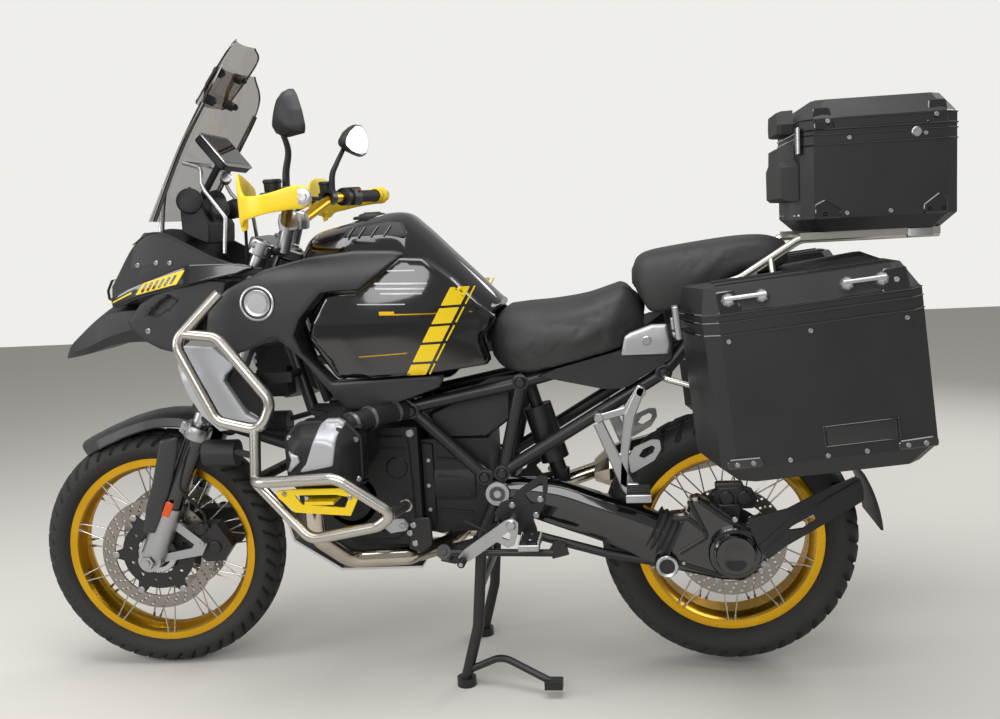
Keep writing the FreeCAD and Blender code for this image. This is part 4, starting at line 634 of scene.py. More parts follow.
DISCS = (
    # name, end, outer and inner radius, middle, arms, replaces
    ("front_disc_left", "front", 152.5, 118.0, 68.0, 6, ("front_discs",)),
    ("front_disc_right", "front", 152.5, 118.0, -68.0, 6, ()),
    ("rear_disc_ring", "rear", 138.0, 104.0, 72.0, 5, ("rear_disc",)),
)
for name, end, radius, inner, middle, arms, stands_for in DISCS:
    centre, body = TYRES[end]["centre"], TYRES[end]["body"]
    outline, holes = disc_ring(radius, inner, 3, 30)
    piece(name, moved(holed_plate(outline, holes, middle - 2.5, middle + 2.5), centre), disc_steel, body,
          stands_for=stands_for, smooth=25)
    star, bore = disc_carrier(inner + 1, 57.5, arms)
    turns = np.arange(12) * math.tau / 12 + 0.2
    small = [circle(5, 12) + (76 * math.cos(a), 76 * math.sin(a)) for a in turns]
    piece(name + "_carrier", moved(holed_plate(star, bore + small, middle - 3.5, middle + 1.5), centre),
          powder_black, body, smooth=25)
    studs = []
    for a in np.arange(arms) * math.tau / arms:
        spot = centre + ((inner - 2) * math.cos(a), middle - 4, (inner - 2) * math.sin(a))
        studs.append(turned([(0, 8.5), (6, 8.5), (9, 7), (9, 1), (6, -0.5), (0, -0.5)][::-1], spot, SIDEWAYS,
                            20))
    piece(name + "_bobbins", joined(*studs), steel_screw, body)
teeth = np.where(np.arange(192) % 4 < 2, 53.0, 49.0)
angle = np.linspace(0, 2 * np.pi, 192, endpoint=False)
ring = np.stack([teeth * np.cos(angle), teeth * np.sin(angle)], 1)
piece("speed_sensor_ring", moved(holed_plate(ring, [circle(38, 48)[::-1]], 72.0, 74.0), FRONT_AXLE),
      anodised_silver, "front_wheel", smooth=0)


# Bodywork.
def filled(outline, spacing):
    """Triangles that fill an outline, through its own points, points just inside them and a
    grid, so that what rolls at the rim is drawn finely there."""
    outline = even(outline, spacing)
    ahead = np.roll(outline, -1, 0) - np.roll(outline, 1, 0)
    inward = np.stack([-ahead[:, 1], ahead[:, 0]], 1) / np.linalg.norm(ahead, axis=1)[:, None]
    turning = np.sum(outline[:, 0] * np.roll(outline[:, 1], -1) - outline[:, 1] * np.roll(outline[:, 0], -1))
    inward *= np.sign(turning)
    low, high = outline.min(0), outline.max(0)
    grid = np.stack(np.meshgrid(np.arange(low[0], high[0], spacing), np.arange(low[1], high[1], spacing)), -1)
    grid = grid.reshape(-1, 2)
    grid[1::2, 0] += spacing / 2
    layers = [outline]
    for inset in (1.5, 4.0, 8.5):
        layer = outline + inward * inset
        layers.append(layer[is_inside(layer, outline) & (rim_distance(layer, outline) > 0.93 * inset)])
    layers.append(grid[is_inside(grid, outline) & (rim_distance(grid, outline) > 8.5 + spacing * 0.5)])
    count = len(outline)
    edges = [(k, (k + 1) % count) for k in range(count)]
    spots = [Vector(spot) for spot in np.vstack(layers)]
    corners, _, triangles, _, _, _ = delaunay_2d_cdt(spots, edges, [], 1, 1e-3)
    corners, triangles = np.array([tuple(corner) for corner in corners]), np.array(triangles)
    return corners, triangles[is_inside(corners[triangles].mean(1), outline)], outline


def roll(inset, radius, drop):
    """An edge rounded by a quarter of an ellipse: 0 inside, minus the drop at the rim."""
    t = 1 - np.clip(inset / radius, 0, 1)
    return -drop * (1 - np.sqrt(1 - t * t))


def panel(outline, face, back=None, spacing=9.0, corner=14.0, wall=9.0):
    """A moulded panel: its outline in X and Z is filled, each point stands as far out as
    face(x, z, distance from the rim) says, and a wall goes back from the rim to a flat back,
    or to a back that follows the face where none is given."""
    corners, triangles, outline = filled(rounded(outline, corner, 4), spacing)
    inset = rim_distance(corners, outline)

    def rear_of(points):
        if back is None:
            return face(*points.T, np.full(len(points), 99.0)) - wall
        return np.full(len(points), float(back))
    front = np.stack([corners[:, 0], face(corners[:, 0], corners[:, 1], inset), corners[:, 1]], 1)
    rear = np.stack([corners[:, 0], rear_of(corners), corners[:, 1]], 1)
    edge = np.zeros((2, len(outline), 3))
    edge[:, :, (0, 2)] = outline
    edge[0, :, 1], edge[1, :, 1] = rear_of(outline), face(*outline.T, np.zeros(len(outline)))
    faces = [tuple(t) for t in triangles.tolist()]
    return joined((front, faces), (rear, [face[::-1] for face in faces]), surface(edge, around=True))


def decal(outline, face, of_outline, spacing=9.0, thick=0.35, corner=1.0):
    """A thin film on a panel: it follows the face of the panel whose outline is given."""
    rim = even(rounded(of_outline, 14.0, 4), 9.0)

    def film(x, z, inset):
        return face(x, z, rim_distance(np.stack([x, z], 1), rim)) + thick
    shape = filled(rounded(outline, corner, 2), spacing)
    x, z = shape[0].T
    front = np.stack([x, film(x, z, 0), z], 1)
    faces = [tuple(t) for t in shape[1].tolist()]
    edge = np.zeros((2, len(shape[2]), 3))
    edge[:, :, (0, 2)] = shape[2]
    edge[1, :, 1] = film(shape[2][:, 0], shape[2][:, 1], 0)
    edge[0, :, 1] = edge[1, :, 1] - thick - 0.6
    return joined((front, faces), (front - (0, thick + 0.6, 0), [face[::-1] for face in faces]),
                  surface(edge, around=True))


def form(stations, along=5, across=4, flat_ends=True):
    """A symmetric body through stations, each an X and half an outline (y, z) from the bottom
    to the top: smooth along the body and across it, and mirrored about the middle plane."""
    rows = np.array([[(x, y, z) for y, z in half] for x, half in stations], float)
    count = rows.shape[1]
    rows = smooth_through(rows.reshape(len(rows), -1), along).reshape(-1, count, 3)
    mirror = rows[:, 1:2] * (1, -1, 1), rows[:, -2:-1] * (1, -1, 1)
    rows = np.swapaxes(smooth_through(np.swapaxes(rows, 0, 1), across,
                                      *(np.swapaxes(side, 0, 1)[0] for side in mirror)), 0, 1)
    whole = np.concatenate([rows, rows[:, -2:0:-1] * (1, -1, 1)], 1)
    return surface(whole, around=True, ends=flat_ends)


def pair(*shapes):
    """Left shapes with their mirror images."""
    return joined(*shapes, mirrored(joined(*shapes)))


TANK = [
    (1037, [(0, 900), (60, 900), (96, 930), (118, 985), (104, 1045), (70, 1086), (30, 1103), (0, 1106)]),
    (1012, [(0, 862), (84, 862), (122, 910), (140, 980), (128, 1060), (88, 1118), (38, 1141), (0, 1145)]),
    (923, [(0, 802), (100, 802), (140, 860), (149, 980), (144, 1070), (106, 1138), (48, 1164), (0, 1168)]),
    (863, [(0, 786), (104, 786), (142, 850), (149, 980), (144, 1075), (108, 1148), (50, 1178), (0, 1183)]),
    (780, [(0, 780), (104, 780), (142, 845), (149, 970), (142, 1070), (108, 1146), (50, 1181), (0, 1188)]),
    (732, [(0, 780), (102, 780), (138, 840), (147, 950), (138, 1040), (100, 1112), (46, 1148), (0, 1154)]),
    (663, [(0, 784), (96, 784), (130, 835), (138, 920), (128, 990), (90, 1050), (42, 1080), (0, 1085)]),
    (594, [(0, 888), (84, 886), (108, 892), (116, 914), (108, 944), (82, 985), (38, 1011), (0, 1016)]),
    (541, [(0, 945), (56, 944), (70, 946), (74, 950), (68, 954), (48, 958), (24, 960), (0, 961)]),
]
piece("tank_shell", form(TANK, 6, 5), lacquer_black, slot="gloss_black_metal", stands_for=("fuel_tank",),
      smooth=28)
FILLER = np.array((868.0, 0.0, 1182.0))
piece("filler_cap", joined(turned([(0, 9), (26, 9), (33, 7), (36, 3), (46, 2), (49, 0), (49, -6), (0, -6)],
                                  FILLER, UP, 48),
                           slab(rounded([(846, -5), (890, -5), (890, 5), (846, 5)], 4), 1190, 1194, 1,
                                across=2)), moulded_black)
VENT = [(921, 1134), (905, 1153), (806, 1168), (772, 1164), (752, 1126)]


def tank_side(x, z, inset):
    """The tank's flank under its vents: it leans in towards the top."""
    return 124 - 0.62 * (z - 1120) - 0.00022 * (x - 840) ** 2


piece("tank_vents", pair(panel(VENT, lambda x, z, d: tank_side(x, z, d) + 5 + roll(d, 9, 5), 84, corner=9)),
      moulded_black)
ribs = []
for x in (796, 828, 860, 888):
    ends = (x + 16, tank_side(x + 16, 1132, 0) + 6, 1132), (x, tank_side(x, 1156, 0) + 6, 1156)
    ribs.append(carried(circle(2.2, 8), ends, SIDEWAYS))
piece("tank_vent_ribs", pair(*ribs), lacquer_black)

GLOSS = [(758, 1080), (704, 1076), (645, 1026), (586, 962), (545, 926), (556, 902), (580, 878), (560, 812),
         (651, 806), (842, 795), (934, 797), (1000, 895), (986, 936), (948, 1000), (868, 1002), (812, 1040)]
CREASE_Z, CREASE_X = (780, 893, 934, 988, 1060), (838, 908, 914, 884, 792)


def gloss_face(x, z, inset):
    """The gloss panel bulges behind a crease that runs down its front, and turns in ahead of it."""
    behind = np.interp(z, CREASE_Z, CREASE_X) - x
    bulge = 14 * np.sin(np.pi * np.clip(behind / 330, 0, 1)) * np.sin(np.pi * np.clip((z - 770) / 330, 0, 1))
    front = 0.2 * np.clip(-behind, 0, 110)
    tail, top = np.maximum(800 - x, 0), np.maximum(z - 1000, 0)
    return 214 + bulge - front - 0.0011 * tail ** 2 - 0.0011 * top ** 2 + roll(inset, 12, 7)


piece("gloss_panels", pair(panel(GLOSS, gloss_face, 120)), lacquer_black, stands_for=("tank_side_panels",),
      smooth=25)
WING = [(1256, 906), (1236, 985), (1180, 1026), (1130, 1048), (1085, 1068), (990, 1090), (876, 1101),
        (786, 1097), (752, 1089), (810, 1044), (862, 1006), (914, 1008), (955, 1005), (1010, 945),
        (1026, 908), (1010, 862), (944, 788), (672, 792), (690, 760), (754, 740), (796, 727), (846, 713),
        (917, 716), (966, 780), (1010, 845), (1070, 905), (1170, 868)]


def wing_face(x, z, inset):
    """The wing is widest beside the emblem, and turns in to the nose, the tip and the top."""
    nose, top = np.maximum(x - 1130, 0), np.maximum(z - 1030, 0)
    return (233 - 0.15 * np.maximum(1090 - x, 0) - 0.0016 * nose ** 2 - 0.0032 * top ** 2
            - 0.06 * np.maximum(960 - z, 0) + roll(inset, 8, 6))


piece("wings", pair(panel(WING, wing_face, 152, corner=10)), satin_graphite, stands_for=("tank_wings",),
      smooth=25)
EMBLEM = (1105.0, 989.0)
spot = (EMBLEM[0], 231.0, EMBLEM[1])
bezel = [(0, 2.6), (25, 2.6), (27, 3.8), (31, 3.8), (32.5, 2.5), (32.5, -2), (0, -2)]
surround = [(37, 3.4), (39, 4.4), (42, 3.4), (43.5, 0), (43.5, -3), (37, -3)]
piece("emblem_rings", pair(turned(bezel, spot, sides=56), turned(surround, spot, sides=56, closed=True)),
      anodised_silver, slot="silver_paint")
piece("emblem_disc", pair(turned([(0, 3.3), (24, 3.3), (24.5, 2.5), (0, 2.5)], spot, sides=56)), silver_paint)


def stripe_points(z):
    """Where the stripe's front and rear edges lie at a height."""
    return np.interp(z, (799, 1004), (758, 642)), np.interp(z, (799, 1004), (712, 598))


stripes = []
for low, high in ((800, 826), (832, 872), (878, 914), (920, 956), (962, 1004)):
    (a, b), (c, d) = stripe_points(low), stripe_points(high)
    stripes.append(decal([(a, low), (b, low), (d, high), (c, high)], gloss_face, GLOSS))
    stripes.append(decal([(a - 53, low), (a - 57, low), (c - 57, high), (c - 53, high)], gloss_face, GLOSS,
                         12))
piece("tank_stripes", pair(*stripes), yellow_nylon)


def lines_on_tank(rows):
    """Thin lines on the gloss panels: X and Z of both ends, and a width."""
    return pair(*(decal([(x0, z0), (x0, z0 - wide), (x1, z1 - wide), (x1, z1)], gloss_face, GLOSS, 12)
                  for x0, z0, x1, z1, wide in rows))


GOLD_LINES = ((811, 950, 668, 946, 3.0), (811, 956, 774, 955, 7.0), (871, 850, 750, 856, 2.5),
              (604, 945, 596, 944, 3.0))
GREY_LINES = ((865, 976, 747, 972, 2.5), (820, 1024, 694, 1019, 4.0), (818, 1012, 700, 1007, 4.0),
              (806, 1000, 706, 996, 4.0), (788, 1052, 722, 1050, 3.0))
piece("tank_gold_lines", lines_on_tank(GOLD_LINES), anodised_gold)
piece("tank_grey_lines", lines_on_tank(GREY_LINES), silver_paint)

# Silver shrouds with folded facets, round a mesh of black wire.
SHROUD = [(1292, 897), (1220, 890), (1170, 842), (1193, 821), (1198, 806), (1149, 724), (1108, 698),
          (1219, 684), (1269, 724), (1301, 777), (1323, 842), (1312, 868)]


def shroud_face(x, z, inset):
    """Three facets: the front one turns in ahead of a fold from the top corner to the chin."""
    fold = np.interp(z, (687, 808, 835, 894), (1216, 1262, 1250, 1290))
    second = np.interp(z, (687, 830, 890), (1150, 1222, 1216))
    return 252 - 0.34 * np.maximum(x - fold, 0) - 0.12 * np.maximum(second - x, 0) + roll(inset, 5, 4)


piece("shrouds", pair(panel(SHROUD, shroud_face, 226.3, corner=8)), silver_paint,
      stands_for=("radiator_shrouds",), smooth=20)
MESH = [(1194, 826), (1165, 842), (1130, 812), (1096, 766), (1094, 722), (1104, 702), (1151, 729),
        (1198, 806)]
net = np.array(MESH, float)
wires = []
for lean, shift in itertools.product((0.9, -0.9), range(-400, 400, 7)):
    middle = np.array((1146 + shift, 770.0))
    run = np.array((math.sin(lean), math.cos(lean)))
    t = np.linspace(-160, 160, 161)
    inside = is_inside(middle + t[:, None] * run, net)
    if inside.sum() > 3:
        a, b = middle + t[inside][0] * run, middle + t[inside][-1] * run
        wires.append(carried(circle(0.9, 4), [(a[0], 232, a[1]), (b[0], 232, b[1])], SIDEWAYS))
piece("shroud_mesh", pair(*wires), powder_black, smooth=0)
piece("shroud_liners", pair(panel(MESH, lambda x, z, d: 226 + 0 * x, 205, corner=4)), moulded_black)

# The beak, the cowl round the lamp and the cheeks between cowl and wings.
BEAK = [
    (1733, [(0, 849), (8, 849), (14, 852), (10, 860), (0, 864)]),
    (1700, [(0, 854), (34, 856), (46, 868), (36, 892), (0, 906)]),
    (1634, [(0, 868), (62, 868), (76, 886), (60, 934), (0, 958)]),
    (1560, [(0, 890), (84, 888), (98, 912), (86, 968), (0, 998)]),
    (1480, [(0, 900), (104, 896), (118, 930), (116, 978), (0, 999)]),
    (1402, [(0, 900), (112, 892), (128, 932), (124, 975), (0, 990)]),
]
piece("beak_blade", form(BEAK, 6, 1), moulded_black, stands_for=("beak",), smooth=24)
COWL = [
    (1540, [(0, 994), (76, 996), (102, 1010), (96, 1040), (68, 1062), (0, 1068)]),
    (1480, [(0, 990), (100, 992), (132, 1022), (132, 1076), (96, 1130), (0, 1144)]),
    (1436, [(0, 990), (118, 994), (146, 1028), (148, 1086), (112, 1160), (0, 1178)]),
    (1375, [(0, 1002), (150, 1004), (160, 1024), (160, 1094), (132, 1156), (0, 1176)]),
    (1330, [(0, 1018), (150, 1012), (160, 1030), (160, 1090), (136, 1140), (0, 1160)]),
]
piece("nose_cowl", form(COWL, 6, 1), moulded_black, stands_for=("front_cowl",), smooth=24)
LAMP_RIM = rounded([(-88, 1004), (88, 1004), (92, 1030), (64, 1057), (-64, 1057), (-92, 1030)], 10)
piece("lamp_lens", slab(LAMP_RIM, 1552, 1560, 2, across=0), clear_lens,
      stands_for=("headlight",))
piece("lamp_housing", slab(LAMP_RIM, 1540.3, 1544, 1, across=0), lacquer_black)
bowl = [(0, 1), (9, 2), (20, 8), (24, 8), (24, 0), (0, 0)]
reflectors = [turned(bowl, (1544, side * 38, 1029), FORWARD, 40) for side in LEFT_AND_RIGHT]
piece("lamp_reflectors", joined(*reflectors, box_of((1544, -9, 1010), (1549, 9, 1048))), mirror_glass,
      slot="silver_paint")
CHEEK = [(1480, 952), (1440, 996), (1373, 1030), (1314, 1040), (1248, 1050), (1200, 1042), (1212, 1000),
         (1244, 985), (1287, 961), (1321, 896), (1351, 873), (1392, 882), (1436, 903), (1470, 932)]
INTAKE = [(1430, 962), (1400, 990), (1352, 1020), (1322, 1000), (1352, 978), (1392, 958)]


def cheek_face(x, z, inset):
    """The cheek stands out most at its lower rear corner, and holds an intake that is sunk in."""
    hollow = rim_distance(np.stack([x, z], 1), even(np.array(INTAKE, float), 8))
    sunk = ramp(hollow, 0, 8) * is_inside(np.stack([x, z], 1), np.array(INTAKE, float))
    return 186 - 0.24 * np.maximum(x - 1330, 0) - 0.1 * np.maximum(z - 960, 0) + roll(inset, 7, 5) - 12 * sunk


piece("cheeks", pair(panel(CHEEK, cheek_face, 150, 6.0, corner=8)), moulded_black,
      stands_for=("cheek_panels",), smooth=25)
FLASH = [(1536, 1012), (1470, 1036), (1330, 1078), (1290, 1088), (1180, 1086), (1120, 1076), (1170, 1058),
         (1248, 1046), (1314, 1034), (1438, 1010), (1530, 984)]


def flash_face(x, z, inset):
    """The strip above the cheek, from the lamp back to the wing."""
    nose, top = np.maximum(x - 1400, 0), np.maximum(z - 1040, 0)
    return 188 - 0.2 * np.maximum(x - 1300, 0) - 0.0011 * nose ** 2 - 0.15 * top + roll(inset, 4, 3)


piece("nose_strips", pair(panel(FLASH, flash_face, None, 8.0, corner=5, wall=14)), lacquer_black)
tag = [decal([(1300, 1077), (1326, 1042), (1450, 1018), (1420, 1048)], flash_face, FLASH, 8),
       decal([(1540, 998), (1544, 994), (1462, 1022), (1458, 1028)], flash_face, FLASH, 8)]
piece("nose_tag", pair(*tag), yellow_nylon)
hatch = []
for k in range(6):
    x, z = 1432 - 17 * k, 1025.5 + 3.5 * k
    hatch.append(decal([(x, z), (x - 7, z - 1), (x - 24, z + 21), (x - 17, z + 22)], flash_face, FLASH, 8, 0.8))
piece("nose_tag_stripes", pair(*hatch), lacquer_black)

# Seats: foam under stretched vinyl, blown up a little against its seams.
RIDER = [
    (572, [(0, 822), (50, 818), (72, 828), (78, 850), (58, 874), (0, 884)]),
    (542, [(0, 796), (92, 794), (118, 814), (122, 862), (88, 918), (0, 934)]),
    (487, [(0, 786), (134, 784), (156, 804), (158, 866), (120, 928), (0, 944)]),
    (410, [(0, 802), (146, 798), (172, 806), (172, 880), (134, 934), (0, 948)]),
    (330, [(0, 822), (150, 818), (176, 826), (174, 895), (138, 946), (0, 958)]),
    (265, [(0, 838), (146, 834), (166, 842), (164, 915), (128, 966), (0, 976)]),
    (232, [(0, 846), (132, 844), (148, 858), (148, 922), (116, 974), (0, 984)]),
    (206, [(0, 853), (116, 860), (132, 874), (130, 912), (100, 944), (0, 951)]),
    (188, [(0, 862), (100, 872), (112, 880), (110, 902), (86, 914), (0, 918)]),
]
PILLION = [
    (222, [(0, 986), (70, 986), (74, 984), (90, 992), (90, 1004), (68, 1014), (0, 1016)]),
    (200, [(0, 975), (98, 975), (102, 952), (120, 952), (126, 1000), (98, 1036), (0, 1044)]),
    (166, [(0, 968), (112, 968), (115, 922), (134, 924), (142, 996), (112, 1046), (0, 1058)]),
    (84, [(0, 972), (112, 972), (115, 938), (140, 942), (148, 1006), (120, 1056), (0, 1070)]),
    (-29, [(0, 992), (112, 992), (116, 1000), (140, 1006), (144, 1030), (118, 1070), (0, 1082)]),
    (-100, [(0, 1003), (112, 1008), (116, 1012), (132, 1020), (132, 1046), (106, 1074), (0, 1082)]),
    (-150, [(0, 1012), (90, 1018), (94, 1022), (110, 1030), (110, 1048), (90, 1066), (0, 1072)]),
]


def cushion(name, stations, node, rise):
    """Foam in its cover: the form is remeshed and blown up by pressure as cloth, no further
    than a rise in mm."""
    item = piece(name, form(stations, 7, 6), seat_vinyl, stands_for=(node,), smooth=0)
    item.data.shade_smooth()
    remesh = item.modifiers.new("voxels", "REMESH")
    remesh.voxel_size = 0.006
    start = settled(item)
    cloth = item.modifiers.new("cover", "CLOTH")
    cloth.settings.use_pressure = True
    cloth.settings.uniform_pressure_force = 4.0
    cloth.settings.effector_weights.gravity = 0.0
    for step in range(1, 21):
        bpy.context.scene.frame_set(step)
    swollen = settled(item)
    bpy.context.scene.frame_set(1)
    move = swollen - start
    far = np.linalg.norm(move, axis=1)
    move *= np.minimum(1, rise / 1000 / np.maximum(far, 1e-9))[:, None]
    item.data.vertices.foreach_set("co", (start + move).ravel())
    item.data.update()
    item.data.shade_smooth()
    return item


def settled(item):
    """Applies a piece's modifiers to its mesh, and gives its corners."""
    depsgraph = bpy.context.evaluated_depsgraph_get()
    mesh = bpy.data.meshes.new_from_object(item.evaluated_get(depsgraph))
    item.modifiers.clear()
    item.data = mesh
    corners = np.empty(len(mesh.vertices) * 3)
    mesh.vertices.foreach_get("co", corners)
    return corners.reshape(-1, 3)


cushion("rider_cushion", RIDER, "rider_seat", 5.0)
cushion("pillion_cushion", PILLION, "pillion_seat", 5.0)


# Covers beside the instruments, from the cowl back to the tank, with a bead along their top.
COVER = [(1420, 1172), (1375, 1172), (1340, 1160), (1237, 1104), (1161, 1076), (1108, 1072), (1112, 1052),
         (1300, 1060), (1330, 1070), (1450, 1030), (1470, 1080), (1452, 1140)]


def cover_face(x, z, inset):
    """The cover follows the cowl: it leans in towards its top and towards the nose."""
    nose, top = np.maximum(x - 1300, 0), np.maximum(z - 1080, 0)
    return 168 - 0.0022 * nose ** 2 * 0.5 - 0.12 * top + roll(inset, 5, 4)


piece("cockpit_covers", pair(panel(COVER, cover_face, None, 8.0, corner=10, wall=12)), moulded_black,
      smooth=25)
seam = np.array([(1452, 1144), (1400, 1170), (1345, 1160), (1237, 1102), (1161, 1073), (1112, 1068)], float)
seam = smooth_through(seam, 6)
seam = np.stack([seam[:, 0], cover_face(seam[:, 0], seam[:, 1], 99) + 1.0, seam[:, 1]], 1)
piece("cover_lines", pair(carried(circle(1.6, 8), seam, SIDEWAYS)), satin_graphite)


def screw(spot, out=SIDEWAYS, radius=5.0, stand=3.0):
    """A screw's round head with a dished rim and a recess for the key."""
    return turned([(0, stand - 1.8), (radius * 0.5, stand - 1.8), (radius * 0.5, stand),
                   (radius * 0.8, stand),
                   (radius, stand * 0.6), (radius, -1), (0, -1)], spot, out, 20)


def screws(y, spots, radius=5.5, stand=3.5):
    """Screws in the left side at places given as X and Z."""
    return [screw((x, y, z), SIDEWAYS, radius, stand) for x, z in spots]


def place_on(face, x, z):
    """The Y of a panel's face at one place away from its rim."""
    return float(face(np.array([x]), np.array([z]), np.array([99.0]))[0])


nose_screws = [screw((x, place_on(cover_face, x, z) + 0.5, z), radius=6)
               for x, z in ((1384.0, 1096.0), (1346.0, 1094.0), (1440.0, 1092.0))]
nose_screws.append(screw((1419, place_on(cheek_face, 1419.0, 928.0) + 0.5, 928), radius=7))
piece("nose_screws", pair(*nose_screws), steel_screw)

# The screen: bowed sheets, their edges back from their middles by a depth; the big one in a
# black frame, the small one on clamps at its top.
MAIN_SCREEN = [(1452, 1200, 150, 66), (1352, 1370, 172, 64), (1268, 1500, 165, 60), (1222, 1568, 110, 30)]
UPPER_SCREEN = [(1296, 1486, 78, 16), (1284, 1500, 92, 20), (1206, 1600, 100, 26), (1180, 1632, 64, 12)]


def bowed_sheet(rows, thick, steps=6):
    """At each row the sheet's front is a parabola over its half width, and its back lies a
    thickness behind it."""
    rows = smooth_through(rows, steps)
    u = np.linspace(-1, 1, 25)
    front = np.stack([rows[:, :1] - rows[:, 3:] * u ** 2, rows[:, 2:3] * u,
                      np.broadcast_to(rows[:, 1:2], (len(rows), 25))], -1)
    back = front[:, ::-1] - (thick, 0, 0)
    return surface(np.concatenate([front, back], 1), around=True, ends=True)


def screen_edge(rows, side, low=0, high=None):
    """The line up one edge of a screen."""
    rows = smooth_through(rows, 8)[low:high]
    return np.stack([rows[:, 0] - rows[:, 3] - 2.5, side * rows[:, 2], rows[:, 1]], 1)


piece("screen_sheet", bowed_sheet(MAIN_SCREEN, 4), bronze_acrylic, stands_for=("windscreen",), smooth=60)
piece("screen_deflector", bowed_sheet(UPPER_SCREEN, 4), bronze_acrylic, smooth=60)
frames = [carried(circle(7, 10, 4), screen_edge(MAIN_SCREEN, side, 0, 15), SIDEWAYS)
        for side in LEFT_AND_RIGHT]
frames += [carried(circle(2.4, 8), screen_edge(rows, side), SIDEWAYS) for rows in (MAIN_SCREEN, UPPER_SCREEN)
           for side in LEFT_AND_RIGHT]
piece("screen_frame", joined(*frames), lacquer_black)
clamps = []
for side in LEFT_AND_RIGHT:
    for x, z in ((1252, 1494), (1222, 1560)):
        spot = np.array((x, side * 62.0, z))
        clamps.append(turned([(0, 9), (9, 9), (12, 6), (12, -14), (8, -17), (0, -17)], spot, (1, 0, 0.5), 24))
        clamps.append(turned([(0, 4), (8, 4), (9, 0), (8, -4), (0, -4)], spot + (-16, side * 9, -6),
                             (0, 1, 0.2), 20))
    clamps.append(pipe([(1262, side * 62, 1488), (1250, side * 66, 1530), (1226, side * 62, 1564)], 5.5, 14))
piece("deflector_clamps", joined(*clamps), moulded_black)
arms = [pipe([(1408, side * 70, 1150), (1396, side * 72, 1230), (1384, side * 70, 1290)], 7, 20)
        for side in LEFT_AND_RIGHT]
arms += [pipe([(1327, side * 78, 1341), (1282, side * 78, 1326), (1282, side * 82, 1287),
               (1272, side * 84, 1265), (1221, side * 96, 1200), (1221, side * 120, 1110)], 5, 14)
         for side in LEFT_AND_RIGHT]
arms.append(pipe([(1322, -78, 1341), (1322, 78, 1341)], 5))
piece("screen_arms", joined(*arms), anodised_silver, stands_for=("screen_stays",))

# Instruments: a flat display with a pale rim, its top leaning forward, a lock and two dark bowls.
DISPLAY_AT, DISPLAY_LEAN = np.array((1248.0, 0.0, 1364.0)), math.radians(38)


def leaned(shape):
    """A shape drawn about the display's middle, leaned forward with it."""
    return about(moved(shape, DISPLAY_AT), DISPLAY_AT, SIDEWAYS, DISPLAY_LEAN)


def upright_plate(half_y, half_z, low, high, corner, edge):
    """A rounded plate across the machine."""
    rim = rounded([(-half_y, -half_z), (half_y, -half_z), (half_y, half_z), (-half_y, half_z)], corner)
    return slab(rim, low, high, edge, across=0)


stay = pipe([(1256, 0, 1350), (1345, 0, 1216), (1345, 0, 1169)], 9, 20)
piece("display_case", joined(leaned(upright_plate(88, 52, -9, 14, 12, 4)), stay), moulded_black,
      stands_for=("display",))
piece("display_rim", leaned(upright_plate(90, 54, -11, -7, 13, 1.2)), anodised_silver, slot="silver_paint")
piece("display_screen", leaned(upright_plate(82, 45, -12.2, -10, 7, 0.5)), display_glass)
piece("ignition_lock", turned([(0, 5), (7, 5), (7, 7), (12, 7), (14, 5), (14, -14), (0, -14)],
                              (1232, 40, 1300), (-0.5, 0.8, 0.3), 28), anodised_silver)
outer_bowl = [(0, 4), (22, 3), (30, 0), (33, -8), (28, -40), (12, -52), (0, -52)]
inner_bowl = [(0, 3), (18, 2), (26, -4), (24, -30), (0, -40)]
bowls = [turned(outer_bowl, (1313, side * 92, 1246), (-0.4, side, 0.1), 36) for side in LEFT_AND_RIGHT]
bowls += [turned(inner_bowl, (1250, side * 60, 1226), (-0.3, side, 0.2), 32) for side in LEFT_AND_RIGHT]
bowls.append(plate([(1272, 1130), (1345, 1166), (1345, 1236), (1322, 1262), (1290, 1230), (1268, 1186)], 12,
                   -84, 84, 5))
piece("instrument_carrier", joined(*bowls), moulded_black, smooth=30)

# Clamps: the cast top bridge with its pinch bolts, the fork's caps and the handlebar's clamps.
BRIDGE_AT = STEERING_FOOT + STEERING_UP * ((1090 - FRONT_AXLE[2]) / STEERING_UP[2])
BAR_AT = np.array((1075.4, 0.0, 1182.0))


def bridge_at(x, y, z=0.0):
    """A place given along and up from the top bridge's corner on the steering axis."""
    ahead = np.array((math.cos(RAKE), 0, math.sin(RAKE)))
    return BRIDGE_AT + ahead * x + np.array((0, y, 0)) + STEERING_UP * z


half = [(-34, 26), (4, 44), (22, 66), (26, 128), (58, 134), (82, 114), (92, 60)]
rim = rounded(half + [(x, -y) for x, y in half[::-1]], 12)
plate_shape = about(moved(slab(rim, 0, 24, 3, across=2), BRIDGE_AT), BRIDGE_AT, SIDEWAYS, -RAKE)
bosses = [turned([(20.6, 30), (29, 30), (31, 27), (31, -5), (28, -8), (20.6, -8)],
                 bridge_at(53.5, side * LEG_Y), STEERING_UP, 40,
                 closed=True) for side in LEFT_AND_RIGHT]
bosses.append(turned([(0, 38), (10, 38), (12, 36), (12, 31), (22, 30), (24, 26), (24, -4), (0, -4)],
                     BRIDGE_AT, STEERING_UP, 36))
risers = [turned([(0, 0), (19, 0), (17, 10), (16.5, 58), (18, 66), (0, 66)], (1101, side * 42, 1106),
                 BAR_AT - (1101, 0, 1106), 32)
          for side in LEFT_AND_RIGHT]
clamp_rim = rounded([(-25, -23), (25, -23), (27, 0), (22, 22), (-22, 22), (-27, 0)], 8) + BAR_AT[[0, 2]]
risers += [slab(clamp_rim, side * 42 - 16, side * 42 + 16, 3) for side in LEFT_AND_RIGHT]
piece("top_bridge", joined(plate_shape, *bosses, *risers), cast_silver, "steering",
      stands_for=("fork_upper",), smooth=30)
tubes = [carried(circle(20.5, 32), [on_leg(560, side), on_leg(1118, side)], SIDEWAYS)
        for side in LEFT_AND_RIGHT]
